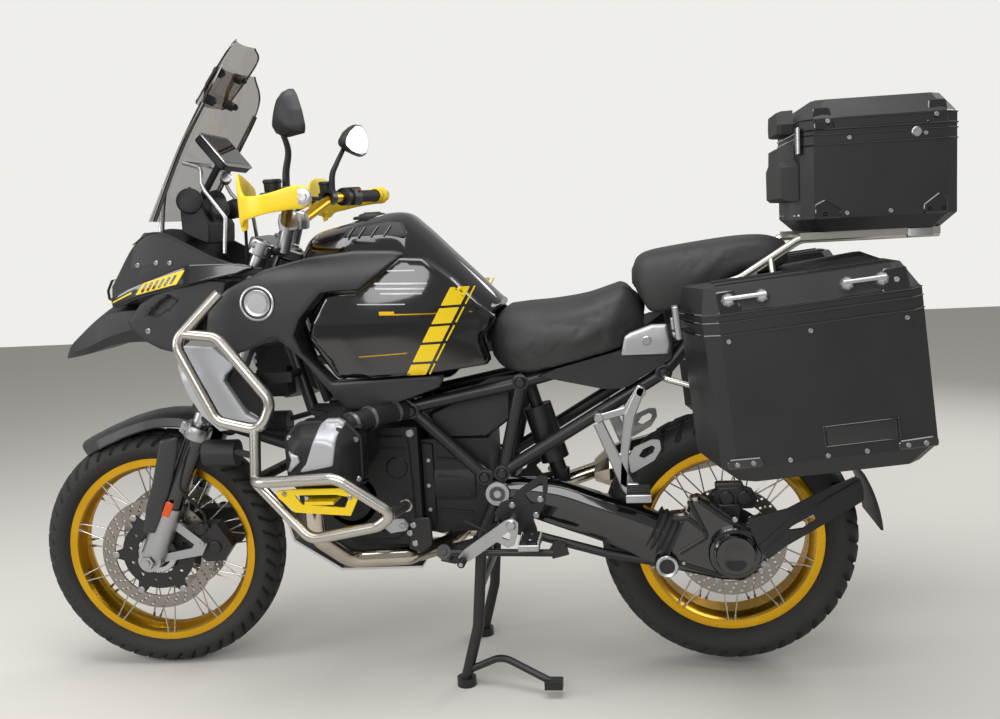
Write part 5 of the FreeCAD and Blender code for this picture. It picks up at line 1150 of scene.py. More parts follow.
caps = [turned([(0, 13), (9, 13), (10, 11), (10, 7), (18, 6), (20.4, 3), (20.4, -2), (0, -2)],
               on_leg(1118, side), STEERING_UP, 32)
        for side in LEFT_AND_RIGHT]
piece("fork_tubes", joined(*tubes, *caps), anodised_silver, "steering")
bolts = [screw(BAR_AT + (dx, side * 42, 21), UP, 4.6, 5) for side in LEFT_AND_RIGHT for dx in (-15, 15)]
bolts += [screw(bridge_at(66, side * 133, 12), (0.2, side, 0), 5, 4) for side in LEFT_AND_RIGHT]
piece("bridge_bolts", joined(*bolts), steel_screw, "steering")

# Grips with ribs and yellow rings, switch blocks, levers on their reservoirs. Distances run
# out along the bar from its last bend.
BAR_BEND, BAR_END = np.array((1022.0, 225.0, 1238.0)), np.array((940.0, 462.0, 1238.0))
BAR_LINE = (BAR_END - BAR_BEND) / np.linalg.norm(BAR_END - BAR_BEND)


def on_bar(distance, ahead=0.0, up=0.0):
    """A place beside the left bar."""
    return BAR_BEND + BAR_LINE * distance + (ahead, 0, up)


along = np.linspace(126, 236, 111)
ribs = 17.4 - 1.1 * (np.abs((along % 7) - 3.5) > 2.6)
grip = [(14.4, 124), (19.5, 124.5), (19.5, 126)] + list(zip(ribs, along)) + [(19, 238), (14.4, 238)]
piece("grips", pair(turned(grip, BAR_BEND, BAR_LINE, 32, closed=True)), soft_rubber, "steering",
      stands_for=("controls",), smooth=30)
piece("grip_rings", pair(turned([(14.5, 238), (20.5, 238), (21.5, 240), (21.5, 246), (19.5, 248),
                                 (14.5, 248)], BAR_BEND, BAR_LINE, 32, closed=True)), yellow_nylon,
      "steering")
profile = rounded([(-27, -25), (25, -25), (30, 0), (24, 27), (-24, 27)], 10)
switch = carried(profile, [on_bar(76), on_bar(80), on_bar(118), on_bar(122)], UP, scale=[0.88, 1, 1, 0.88])
knobs = [box_of(on_bar(92 + k * 9) + (-30, -5, -12 + 5 * k), on_bar(92 + k * 9) + (-24, 5, -4 + 6 * k), 1, 2)
         for k in range(3)]
master = box_of(on_bar(62, 44) + (-27, -17, -12), on_bar(62, 44) + (27, 17, 16), 4, 8)
tank = turned([(0, 34), (19, 34), (22, 31), (22, 26), (20, 24), (19, -4), (0, -4)], on_bar(48, 40, 12), UP,
              32)
clamp = turned([(14.3, 50), (24, 51), (25, 54), (25, 73), (23, 76), (14.3, 76)], BAR_BEND, BAR_LINE, 32,
               closed=True)
neck = carried(rounded([(-12, -10), (12, -10), (12, 10), (-12, 10)], 4), [on_bar(62, 10), on_bar(62, 30)], UP)
piece("switch_blocks", pair(switch, master, tank, clamp, neck, *knobs), moulded_black, "steering",
      smooth=30)
button = turned([(0, 7), (8, 7), (9.5, 5), (9.5, 0), (0, 0)], on_bar(100, -22, 14) * (1, -1, 1),
                (-0.6, 0, 0.8), 24)
piece("stop_button", button, red_lens, "steering")
track = rounded_path([on_bar(60, 62), on_bar(104, 74), on_bar(232, 56, -4)], 40, 8)
size_along = np.interp(np.linspace(0, 1, len(track)), (0, 0.15, 0.8, 1), (1.5, 1.0, 0.8, 1.1))
lever = joined(carried(circle(6.0, 14, 5.0), track, UP, scale=size_along),
               turned([(0, 8), (5.5, 6), (8, 0), (5.5, -6), (0, -8)], on_bar(234, 56, -4), UP, 16))
piece("levers", pair(lever), powder_black, "steering")
hose = pipe([on_bar(62, 74, 0), on_bar(40, 100, -20), (1140, 200, 1200), (1165, 130, 1130), (1180, 96, 1020),
             (1176, 92, 900)], 4, 60, 10)
piece("bar_hoses", pair(hose), soft_rubber, "steering")

# Handguards: a blade from the bar's end round the front of the lever, tall at its front.
GUARD = [(908, 474, 1228, 1248, 8), (924, 476, 1214, 1262, 10), (950, 480, 1213, 1261, 9),
         (1000, 482, 1208, 1249, 6), (1040, 466, 1200, 1246, 5), (1066, 440, 1194, 1252, 5),
         (1080, 416, 1180, 1292, 4.5), (1096, 352, 1190, 1296, 4.5), (1099, 300, 1196, 1286, 4),
         (1095, 256, 1204, 1266, 4)]


def blade(stations, sides=24, power=0.55):
    """Flat ovals across a path: at a station (x, y, low, high, half thickness) the section is
    a superellipse that stands upright and lies square to the path."""
    rows = smooth_through(stations, 5)
    middle = np.stack([rows[:, 0], rows[:, 1], (rows[:, 2] + rows[:, 3]) / 2], 1)
    ahead = np.gradient(middle[:, :2], axis=0)
    ahead /= np.linalg.norm(ahead, axis=1)[:, None]
    out = np.stack([ahead[:, 1], -ahead[:, 0], np.zeros(len(rows))], 1)
    turn = np.linspace(0, 2 * np.pi, sides, endpoint=False)
    wide, tall = (np.sign(f(turn)) * np.abs(f(turn)) ** power for f in (np.cos, np.sin))
    half_high = (rows[:, 3] - rows[:, 2]) / 2
    points = middle[:, None] + out[:, None] * (wide[None, :, None] * rows[:, 4][:, None, None]) + UP * (
        tall[None, :, None] * half_high[:, None, None])
    return surface(points, around=True, ends=True)


spike = plate([(1074, 1200), (1094, 1196), (1090, 1168), (1076, 1176)], 4, 384, 390, 1.5)
inner_arm = pipe([(930, 470, 1244), (945, 452, 1240), (948, 444, 1239)], 7, 8)
piece("guard_blades", pair(blade(GUARD), spike, inner_arm), yellow_nylon, "steering",
      stands_for=("handguards",))
guard_bolt = np.array((924.0, 485.0, 1238.0))
piece("guard_bolts", pair(turned([(10, 2.4), (17, 2.4), (19, 1), (19, -3), (10, -3)], guard_bolt,
                                        sides=40, closed=True), screw(guard_bolt, radius=10, stand=4.5)),
      anodised_silver, "steering")
strut = joined(pipe([(1096, 258, 1236), (1084, 236, 1238), (1046, 214, 1236)], 6, 14),
               turned([(14.3, -12), (21, -12), (21, 12), (14.3, 12)], on_bar(-14), BAR_LINE, 28, closed=True))
piece("guard_struts", pair(strut), powder_black, "steering")

# Mirrors: teardrop shells with the glass let in, turned towards the rider, on tapered stems.
MIRRORS = (
    # side, turn (degrees), how far its head stands forward, outline (out from the middle, up)
    (1, 34, 40, [(228, 1384), (262, 1377), (370, 1378), (376, 1394), (362, 1430), (338, 1466), (318, 1481),
                 (298, 1479), (270, 1458), (240, 1420), (222, 1398)]),
    (-1, 15, 10, [(226, 1378), (262, 1362), (330, 1348), (364, 1358), (378, 1384), (374, 1416), (346, 1436),
                  (306, 1438), (262, 1420), (230, 1396)]),
)
SHELL = ((952, 0.97), (953, 1.0), (962, 1.0), (976, 0.88), (988, 0.62), (995, 0.26))
shells, glasses = [], []
for side, turn, forward, outline in MIRRORS:
    rim = rounded(outline, 24, 6) * (side, 1)
    middle = rim.mean(0)
    rings = np.array([[(x + forward, *(middle + (point - middle) * share)) for point in rim]
                      for x, share in SHELL])
    root = np.array((978.0 + forward, side * 272.0, middle[1] - 20))
    shell = surface(rings, around=True, ends=True)
    pane = middle + (rim - middle) * 0.9
    glass = surface(np.array([[(x + forward, *point) for point in pane] for x in (953.0, 951.2)]),
                    around=True, ends=True)
    shells.append(about(shell, root, UP, math.radians(side * turn)))
    glasses.append(about(glass, root, UP, math.radians(side * turn)))
    foot = np.array([(1024, side * 238, 1256), (1020, side * 240, 1300),
                     (1008, side * 250, 1350 if side > 0 else 1330), root])
    path = smooth_through(foot, 6)
    shells.append(carried(circle(6.5, 16), path, SIDEWAYS, scale=np.linspace(1.45, 0.95, len(path))))
    shells.append(turned([(0, 10), (10, 8), (13, 0), (13, -8), (0, -10)], foot[0] - (0, 0, 4), UP, 24))
piece("mirror_shells", joined(*shells), moulded_black, "steering", stands_for=("mirrors",), smooth=35)
piece("mirror_glasses", joined(*glasses), mirror_glass, "steering", smooth=30)


# Engine: black heads under pale straps, finned barrels, and the bolts and ribs of the case.
HEAD = np.array((940.0, 628.0))
COVER_LOOP = rounded([(-86, -50), (-52, -84), (52, -86), (86, -48), (88, 46), (54, 84), (-54, 84), (-88, 46)],
                     30, 5)


def cover_y(share):
    """How far out a head's cover stands, by the share of the way from its middle to its rim."""
    return 378 - 52 * np.clip((np.asarray(share, float) - 0.58) / 0.42, 0, 1) ** 1.8


def head_surface():
    """Rings of one outline, scaled: the domed cover, its joint and the head down to the barrel."""
    dome = [(share, float(cover_y(share))) for share in (0.02, 0.35, 0.58, 0.7, 0.8, 0.88, 0.94, 0.98, 1.0)]
    rows = dome + [(1.0, 324), (1.06, 322), (1.06, 314), (1.0, 312), (1.03, 296), (1.03, 264), (0.9, 256),
                   (0.02, 256)]
    points = np.array([[(HEAD[0] + x * share, y, HEAD[1] + z * share) for x, z in COVER_LOOP]
                       for share, y in rows])
    return surface(points, around=True, ends=True)


def cover_share(x, z):
    """The share of the way to the rim, for a place on the cover."""
    return (np.abs((x - HEAD[0]) / 88) ** 2.6 + np.abs((z - HEAD[1]) / 86) ** 2.6) ** (1 / 2.6)


fins = []
for k in range(12):
    fins += [(70, 142 + k * 9.6), (70, 145.6 + k * 9.6), (86, 146.4 + k * 9.6), (86, 149.6 + k * 9.6),
             (70, 150.4 + k * 9.6)]
barrel = turned([(40, 141)] + fins + [(70, 262), (40, 262)], (HEAD[0], 0, HEAD[1]), SIDEWAYS, 48, closed=True)
ribs = [box_of((HEAD[0] - 92, 268, HEAD[1] + z), (HEAD[0] + 92, 308, HEAD[1] + z + 4), 1, 10)
        for z in range(-66, 67, 22)]
piece("cylinder_heads", pair(head_surface(), barrel, *ribs), cast_black, slot="head_cover",
      stands_for=("cylinders",), smooth=32)
STRAP = [(937, 712), (924, 722), (896, 722), (880, 713), (892, 688), (894, 665), (902, 623), (932, 617),
         (983, 609), (964, 629), (946, 675), (940, 690)]
SIDE_STRAP = [(1014, 660), (982, 648), (978, 634), (1006, 609), (1024, 604), (1010, 619), (999, 639)]


def strap_face(x, z, inset):
    """The strap lies on the cover, a little proud of it."""
    return np.maximum(cover_y(cover_share(x, z)), 330) + 7 + roll(inset, 4, 3)


piece("head_straps", pair(panel(STRAP, strap_face, 318, 6.0, corner=5),
                                 panel(SIDE_STRAP, strap_face, 318, 6.0, corner=4)), silver_paint, smooth=30)
bolts = [screw((HEAD[0] + x, 331, HEAD[1] + z), (x / 90, 1.2, z / 90), 7, 6)
         for x, z in ((-80, -46), (80, -46), (-80, 44), (74, 52))]
bolts += screws(386, ((1020, 562), (866, 552)), 5.5, 3)
bolts += [screw((739 if z > 540 else 742, 109, z), SIDEWAYS, 6, 4) for z in (569, 504, 442)]
bolts += [screw((775, 141, 646), SIDEWAYS, 11, 6)]
piece("engine_bolts", pair(*bolts), steel_screw)
cover_plate = rounded([(1034, 380), (1034, 640), (780, 640), (772, 430), (820, 376)], 24)
shapes = [slab(cover_plate, 139, 146, 3),
          plate([(756, 396), (756, 614), (728, 610), (728, 400)], 6, 96, 109, 2)]
shapes += [plate([(636, z), (720, z + 8), (720, z + 14), (636, z + 6)], 2, 98, 106, 1)
           for z in (560, 516, 472, 428)]
shapes += [turned([(0, 156), (46, 156), (52, 152), (54, 146), (66, 146), (68, 143), (68, 130), (0, 130)],
                  (934, 0, 480), SIDEWAYS, 56)]
shapes += [turned([(0, 150), (24, 150), (28, 146), (28, 140), (0, 140)], (812, 0, 560), SIDEWAYS, 36)]
shapes += [plate([(790, z), (1030, z), (1030, z + 5), (790, z + 5)], 2, 140, 150, 1) for z in (394, 606)]
piece("engine_covers", pair(*shapes), cast_black, smooth=32)
intake = carried(circle(25, 28),
                 smooth_through(np.array([(896, 284, 694), (868, 248, 700), (826, 192, 706), (770, 120, 704)],
                                         float), 5), UP)
boot_rings = [turned([(25.5, -5), (28.5, -5), (28.5, 5), (25.5, 5)], spot, (0.55, 0.83, -0.1), 32,
                     closed=True)
              for spot in ((884, 268, 697), (852, 226, 703), (806, 166, 706))]
piece("intake_pipes", pair(intake), soft_rubber)
piece("intake_clamps", pair(*boot_rings), anodised_silver)

# Bolts and caps of the frame, and the pale ring round the swingarm's pivot.
PIVOT_X, PIVOT_Z = 563, 490
cap = turned([(0, 9), (9, 9), (10, 6), (18, 6), (20, 9), (29, 8), (31, 5), (31, -4), (0, -4)],
             (PIVOT_X, 147, PIVOT_Z), SIDEWAYS, 48)
piece("pivot_caps", pair(cap), cast_silver)
piece("pivot_cap_centres", pair(turned([(10.5, 7), (17.5, 7), (17.5, 5), (10.5, 5)], (PIVOT_X, 147, PIVOT_Z),
                                       SIDEWAYS, 40, closed=True)), lacquer_black)
heads = [turned([(0, 12), (10, 12), (13, 9), (14, 4), (20, 3), (20, -8), (0, -8)], (x, 144, z), SIDEWAYS, 32)
         for x, z in ((494, 764), (594, 531), (768, 702), (150, 846), (150, 776), (550, 540), (780, 710))]
piece("frame_bolts", pair(*heads), powder_black)

# Fork below the lower bridge: pale clamps, leg shields, reflectors, bolts, hoses and the mudguard.
rings = [turned([(29.2, -20), (33, -20), (35, -17), (35, 12), (33, 15), (29.2, 15)], on_leg(664, side),
                STEERING_UP, 40, closed=True)
         for side in LEFT_AND_RIGHT]
lugs = [about(moved(box_of((-10, -7, -18), (16, 7, 12), 2, 4), on_leg(664, side) + (22, side * 26, 8)),
              on_leg(664, side), SIDEWAYS, -RAKE)
        for side in LEFT_AND_RIGHT]
piece("leg_clamps", joined(*rings, *lugs), cast_silver, "steering")
bolts = [screw(on_leg(z, side) + (22 + (664 - z) * 0.1, side * 33, 12), (0, side, 0), 5.5, 4)
         for side in LEFT_AND_RIGHT for z in (658, 676)]
bolts += [screw((x, side * 107, z), (0, side, 0), 7.5, 5)
          for side in LEFT_AND_RIGHT for x, z in ((1454, 440), (1366, 362))]
bolts += [turned([(0, 9), (8, 9), (9, 6), (17, 6), (19, 3), (19, -4), (0, -4)],
                 FRONT_AXLE + (0, side * 139, 0), (0, side, 0), 6)
          for side in LEFT_AND_RIGHT]
piece("fork_bolts", joined(*bolts), steel_screw, "steering")
SHIELD = [(1438, 648), (1388, 658), (1395, 616), (1417, 541), (1452, 450), (1478, 404), (1508, 406),
          (1494, 470), (1467, 544)]


def shield_face(x, z, inset):
    """The shield is bowed round the front of its leg."""
    middle = np.interp(z, (404, 648), (1492, 1412))
    return 142 - 0.006 * (x - middle) ** 2 + roll(inset, 5, 3)


piece("leg_shields", pair(panel(SHIELD, shield_face, None, 8.0, corner=8, wall=5)), satin_graphite,
      "steering", smooth=30)
spot = np.array((1433.0, 142.0, 468.0))
reflector = about(moved(plate([(-10, -20), (10, -20), (10, 20), (-10, 20)], 4, 0, 5, 1.5), spot), spot,
                  SIDEWAYS, -RAKE)
piece("fork_reflectors", pair(reflector), orange_lens, "steering")
pistons = [turned([(0, 7), (14, 7), (17, 5), (18, 0), (0, 0)], (x, side * 93, z), (0, side, 0), 32)
           for side in LEFT_AND_RIGHT for x, z in ((1372, 396), (1338, 346))]
bodies = [slab(rounded([(1424, 404), (1330, 404), (1298, 348), (1322, 312), (1360, 314), (1404, 350)], 14),
               *sorted((side * 84, side * 94)), 4)
          for side in LEFT_AND_RIGHT]
piece("caliper_bodies", joined(*pistons, *bodies), powder_black, "steering", smooth=32)
hose = pipe([(1352, 98, 404), (1350, 118, 450), (1400, 140, 520), (1376, 140, 600), (1346, 120, 660),
             (1330, 70, 726)], 4, 40, 8)
banjo = turned([(0, 8), (7, 8), (8, 6), (8, -4), (0, -4)], (1352, 98, 404), UP, 20)
piece("brake_hoses", pair(hose, banjo), soft_rubber, "steering")
turn = np.radians(smooth_through(np.array([[56.0], [62], [70], [80], [90], [100], [108], [113]]), 5))[:, 0]
inside = np.interp(np.degrees(turn), (56, 66, 75, 85, 95, 105, 113), (350, 347, 350, 360, 374, 384, 381))
CROWN = np.array([(-74, -30), (-66, -10), (-48, -1), (-24, 2), (0, 6), (24, 2), (48, -1), (66, -10),
                  (74, -30)], float)
section = np.vstack([CROWN, CROWN[::-1] * (0.96, 1) - (0, 4)])
narrow = np.interp(np.degrees(turn), (56, 66, 90, 113), (0.42, 0.86, 1, 1))
radius = inside[:, None] + section[None, :, 1] + 4
points = np.stack([radius * np.cos(turn)[:, None], section[None, :, 0] * narrow[:, None],
                   radius * np.sin(turn)[:, None]], -1) + FRONT_AXLE
piece("mudguard_blade", surface(points, around=True, ends=True), satin_graphite, "steering",
      stands_for=("front_mudguard",), smooth=32)

# Swingarm: a creased box section, a rubber boot over the joint, and the ribbed drive case behind it.
DRIVE_X, DRIVE_Z = -4, 335
# stations: x, middle y, low z, high z, half the width
ARM = np.array([(552, 118, 446, 520, 28), (498, 122, 428, 522, 29), (408, 127, 396, 514, 32),
                (326, 130, 368, 486, 34), (254, 131, 338, 462, 35), (204, 132, 312, 444, 35),
                (160, 132, 302, 424, 34)], float)
BOX_SECTION = np.array([(-0.5, 1), (0.3, 1), (0.78, 0.82), (1, 0.5), (1, -0.02), (0.82, -0.5), (0.4, -1),
                        (-0.5, -1), (-1, -0.5), (-1, 0.6)])
stations = smooth_through(ARM, 5)
section = rounded(BOX_SECTION, 0.16, 3)
points = np.array([[(x, y + across * half, (low + high) / 2 + up * (high - low) / 2)
                    for across, up in section] for x, y, low, high, half in stations])
case = rounded([(150, 300), (152, 428), (108, 432), (98, 466), (78, 472), (50, 456), (-22, 402), (-58, 386),
                (-80, 338), (-60, 284), (-20, 262), (24, 264), (128, 288)], 12)
shapes = [surface(points, around=True, ends=True), slab(case, 100, 150, 7)]
shapes += [box_of((420, 32, 464), (452, 110, 492), 3, 6), box_of((500, 92, 470), (560, 104, 508), 3, 6)]
shapes += [turned([(0, -104), (21, -104), (21, 104), (0, 104)], (PIVOT_X, 0, PIVOT_Z), SIDEWAYS, 40),
           turned([(0, -70), (12, -70), (12, 60), (30, 70), (44, 98), (44, 104), (0, 104)], REAR_AXLE,
                  SIDEWAYS, 48)]
shapes += [turned([(0, 176), (47, 176), (51, 173), (52, 168), (60, 166), (63, 162), (63, 140), (0, 140)],
                  (DRIVE_X, 0, DRIVE_Z), SIDEWAYS, 72)]
piece("swingarm_shell", joined(*shapes), lacquer_black, slot="gloss_black_metal", stands_for=("swingarm",),
      smooth=32)
ribs = [carried(circle(6.5, 10, 5), rounded_path(np.array(run, float), 10, 4), SIDEWAYS) for run in (
    [(100, 149, 462), (60, 149, 374), (126, 149, 334)], [(136, 149, 312), (84, 149, 294), (28, 149, 276)],
    [(76, 149, 462), (20, 149, 420), (-40, 149, 386)], [(146, 149, 418), (104, 149, 420), (66, 149, 388)])]
strut = pipe([(160, 136, 304), (300, 136, 330), (556, 134, 402)], 11, 60, 12)
eye = turned([(0, 166), (27, 166), (29, 162), (29, 120), (0, 120)], (158, 0, 306), SIDEWAYS, 44)
piece("drive_ribs", joined(*ribs, strut, eye), powder_black, smooth=32)
path = np.array([(x, 131.0, 376 + (x - 166) * 0.5) for x in np.linspace(138, 192, 33)])
boot = carried(circle(38, 32, 60), path, UP, scale=1 + 0.05 * np.cos(np.linspace(0, 8 * np.pi, 33)))
piece("shaft_boot", boot, soft_rubber)
piece("shaft_ring", turned([(19, 2), (25, 4), (27, 2), (27, -2), (19, -2)], (158, 166, 306), SIDEWAYS, 44,
                           closed=True), anodised_silver)
lugs = [turned([(0, 5), (5, 5), (6, 3), (6, -4), (0, -4)],
               (DRIVE_X + 40 * math.cos(a), 176, DRIVE_Z + 40 * math.sin(a)), SIDEWAYS, 14)
        for a in np.radians(np.arange(0, 360, 45))]
hub_cap = turned([(0, 3), (24, 3), (30, 6), (45, 6), (47, 3), (47, -4), (0, -4)], (DRIVE_X, 176, DRIVE_Z),
                 SIDEWAYS,
                 64)
piece("drive_cap", joined(hub_cap, *lugs), lacquer_black, smooth=30)
bolts = [screw((x, y, z), SIDEWAYS, radius, 4) for x, y, z, radius in
         ((-62, 152, 386, 7), (-72, 152, 346, 6), (-64, 152, 292, 7), (-6, 152, 416, 7), (118, 152, 310, 5))]
piece("drive_bolts", joined(*bolts), steel_screw)

# Splash guard: a forked arm that bends in behind the tyre to a curved flap.
GUARD_ARM = [(-30, 424), (-125, 446), (-204, 479), (-300, 508), (-310, 478), (-312, 446), (-182, 388),
             (-119, 356), (-76, 322), (-54, 362)]
GUARD_GAP = [(-118, 394), (-146, 422), (-186, 430), (-193, 413), (-160, 397)]
arm = holed_plate(rounded(GUARD_ARM, 10), [rounded(GUARD_GAP, 6)], 166, 177)
arm[0][:, 1] -= np.maximum(-150 - arm[0][:, 0], 0) * 0.4
spine = carried(rounded([(-4, -9), (5, -6), (5, 6), (-4, 9)], 3),
                np.array([(-62, 178, 352), (-130, 176, 412), (-206, 154, 448), (-300, 118, 490)], float), UP)
FLAP_RADIUS = 352
turn = np.arcsin((np.linspace(372, 508, 18) - REAR_AXLE[2]) / FLAP_RADIUS)
flap = [[(-(FLAP_RADIUS + depth) * math.cos(a), y,
          REAR_AXLE[2] + (FLAP_RADIUS + depth) * math.sin(a)) for depth, y in
         ((0, -92), (0, 0), (0, 92), (0, 112), (6, 112), (6, 92), (6, 0), (6, -92))] for a in turn]
piece("splash_arm", joined(arm, spine, surface(np.array(flap), around=True, ends=True)), moulded_black,
      stands_for=("splash_guard",), smooth=30)

# Rear caliper: a ribbed body over the disc on its bracket.
body = rounded([(-58, 426), (-66, 446), (-56, 470), (-20, 482), (24, 480), (44, 462), (44, 436), (26, 424)],
               10)
shapes = [slab(body, 82, 96, 4), slab(body, 60, 70, 4),
          plate([(-34, 470), (-34, 490), (34, 490), (34, 470)], 8, 62, 94, 4)]
shapes += [plate([(-20, 400), (-24, 440), (30, 440), (46, 402)], 8, 90, 108, 3)]
shapes += [turned([(0, 6), (15, 6), (18, 3), (18, -3), (0, -3)], (x, 96, 453), SIDEWAYS, 32)
           for x in (-34, 8)]
piece("rear_caliper_body", joined(*shapes), powder_black, stands_for=("rear_caliper",), smooth=30)

# Footrests: black hangers, toothed pegs, and the passenger's forked carriers with heel plates.
HANGER = [(556, 470), (525, 480), (519, 494), (454, 536), (438, 532), (440, 481), (456, 446), (478, 425),
          (470, 400), (470, 378), (500, 376), (522, 400), (575, 440)]
plates = [holed_plate(rounded(HANGER, 6), [rounded([(497, 488), (451, 519), (451, 470), (480, 464)], 5)], 147,
                      156),
          box_of((462, 154, 380), (500, 172, 394), 2, 5)]
piece("peg_hangers", pair(*plates), powder_black, stands_for=("footrests",), smooth=20)
edges = [box_of((a, 166, 378), (b, 262, 393), 1.5, 2) for a, b in ((456, 460), (479, 483), (502, 506))]
edges += [box_of((456, y, 378), (506, y + 5, 393), 1.5, 2) for y in (166, 211, 257)]
edges += [box_of((a, y, 392), (a + 4, y + 6, 400), 0.8, 1) for a in (456, 502) for y in range(172, 252, 13)]
FRONT_ARM = [(320, 668), (298, 680), (230, 524), (220, 496), (240, 487), (258, 508)]
REAR_ARM = [(194, 748), (212, 758), (246, 690), (258, 600), (264, 522), (244, 508), (238, 600), (222, 682)]
HEEL = [(240, 586), (226, 610), (186, 627), (166, 627), (164, 604), (180, 578), (236, 546)]
HEEL_GAP = [(217, 588), (205, 605), (185, 614), (177, 609), (182, 596), (204, 583)]
arms = [plate(shape, 6, 197, 207, 3) for shape in (FRONT_ARM, REAR_ARM)]
arms += [plate([(194, 748), (212, 758), (246, 706), (306, 690), (300, 674), (234, 690)], 5, 198, 205, 2)]
arms += [holed_plate(rounded(HEEL, 6), [rounded(HEEL_GAP, 4)], 200, 205)]
arms += [turned([(0, 207), (10, 207), (12, 204), (12, 160), (0, 160)], (x, 0, z), SIDEWAYS, 24)
         for x, z in ((306, 681), (206, 741))]
arms += [box_of((216, 196, 486), (246, 214, 524), 3, 6), box_of((190, 294, 502), (248, 300, 520), 1.5, 4)]
piece("peg_frames", pair(*edges, *arms), cast_silver, smooth=30)
pads = [box_of((a, 171, 380), (b, 257, 396), 2, 3) for a, b in ((461, 478), (484, 501))]
pads += [box_of((192, 212, 503), (246, 294, 521), 3, 8)]
pads += [box_of((192, y, 519), (246, y + 5, 525), 1, 2) for y in (222, 236, 250, 264, 278)]
piece("peg_rubbers", pair(*pads), soft_rubber)
LEVER = [(508, 434), (522, 446), (540, 440), (642, 370), (660, 350), (648, 332), (626, 344), (562, 388),
         (538, 372), (520, 378), (510, 410)]
lever = [holed_plate(rounded(LEVER, 7), [rounded([(527, 416), (532, 390), (553, 399)], 4)], 206, 213),
         turned([(0, 217), (9, 217), (11, 214), (14, 213), (14, 204), (9, 204), (9, 150), (0, 150)],
                (526, 0, 428), SIDEWAYS, 28),
         turned([(0, 246), (5, 246), (5, 206), (0, 206)], (648, 0, 342), SIDEWAYS, 16)]
piece("foot_levers", pair(*lever), cast_silver, stands_for=("foot_controls",), smooth=30)
toe = turned([(0, 244), (8, 244), (10, 241), (10, 216), (8, 214), (0, 214)], (648, 0, 342), SIDEWAYS, 20)
link = pipe([(592, 182, 404), (646, 180, 432)], 3.5, 10, 10)
piece("toe_rubbers", pair(toe, link), soft_rubber)
bracket = [plate([(870, 420), (843, 431), (800, 430), (790, 414), (797, 398), (839, 391)], 8, 141, 152, 3)]
piece("bar_brackets", pair(*bracket), cast_silver)
bracket = [plate([(786, 432), (736, 430), (733, 362), (766, 340), (797, 352)], 8, 140, 147, 3)]
piece("stand_brackets", pair(*bracket), powder_black)
bolts = [screw((x, y, z), SIDEWAYS, 8, 4)
         for x, y, z in ((806, 152, 413), (780, 147, 413), (790, 147, 393), (778, 147, 366), (528, 156, 462),
                         (458, 156, 476), (470, 156, 436))]
piece("bracket_bolts", pair(*bolts), steel_screw)

# The pale lock covers behind the seat, the tail lamp and the pads on the rack.
LOCK = [(250, 822), (240, 868), (228, 876), (175, 894), (138, 894), (130, 843), (137, 822)]
piece("lock_covers", pair(panel(LOCK, lambda x, z, d: 168 - 0.05 * np.maximum(z - 860, 0) + roll(d, 6, 5),
                                None, 8.0, corner=8, wall=12)), cast_silver, smooth=28)
piece("lock_barrels", pair(turned([(0, 2), (4, 2), (4, 4), (9, 4), (11, 2), (11, -6), (0, -6)],
                                  (188, 168, 856), SIDEWAYS, 28)), steel_screw)
lamp = slab(rounded([(-60, 968), (60, 968), (62, 1000), (52, 1009), (-52, 1009), (-62, 1000)], 6), -398, -391,
            2, across=0)
piece("tail_lamp", lamp, red_lens)
pads = [box_of((-455, side * 150 - 18, 1066), (-398, side * 150 + 18, 1089), 3, 8) for side in LEFT_AND_RIGHT]
piece("rack_pads", joined(*pads), cast_silver)

# Panniers, drawn level with the bottom front corner of the outer side at the origin.
CASE_TILT = math.radians(5.7)
CASE_CORNER_X, CASE_CORNER_Z = 38, 586
CASE_SIDE = 497


def on_case(shape, side):
    """Leans a shape with a pannier and puts it on its side of the machine."""
    x, y, z = shape[0].T
    points = np.stack([CASE_CORNER_X + x * math.cos(CASE_TILT) + z * math.sin(CASE_TILT), y,
                       CASE_CORNER_Z - x * math.sin(CASE_TILT) + z * math.cos(CASE_TILT)], 1)
    return (points, shape[1]) if side > 0 else mirrored((points, shape[1]))


def bead(loop, z, radius):
    """A round bead along a level loop."""
    points = even(np.asarray(loop, float), 30)
    return carried(circle(radius, 8), np.column_stack([points, np.full(len(points), z)]), UP, loop=True)


def lid_slope(z):
    """Y on the sloping outer side of a pannier's lid."""
    return CASE_SIDE - 26 * (z - 350) / 56


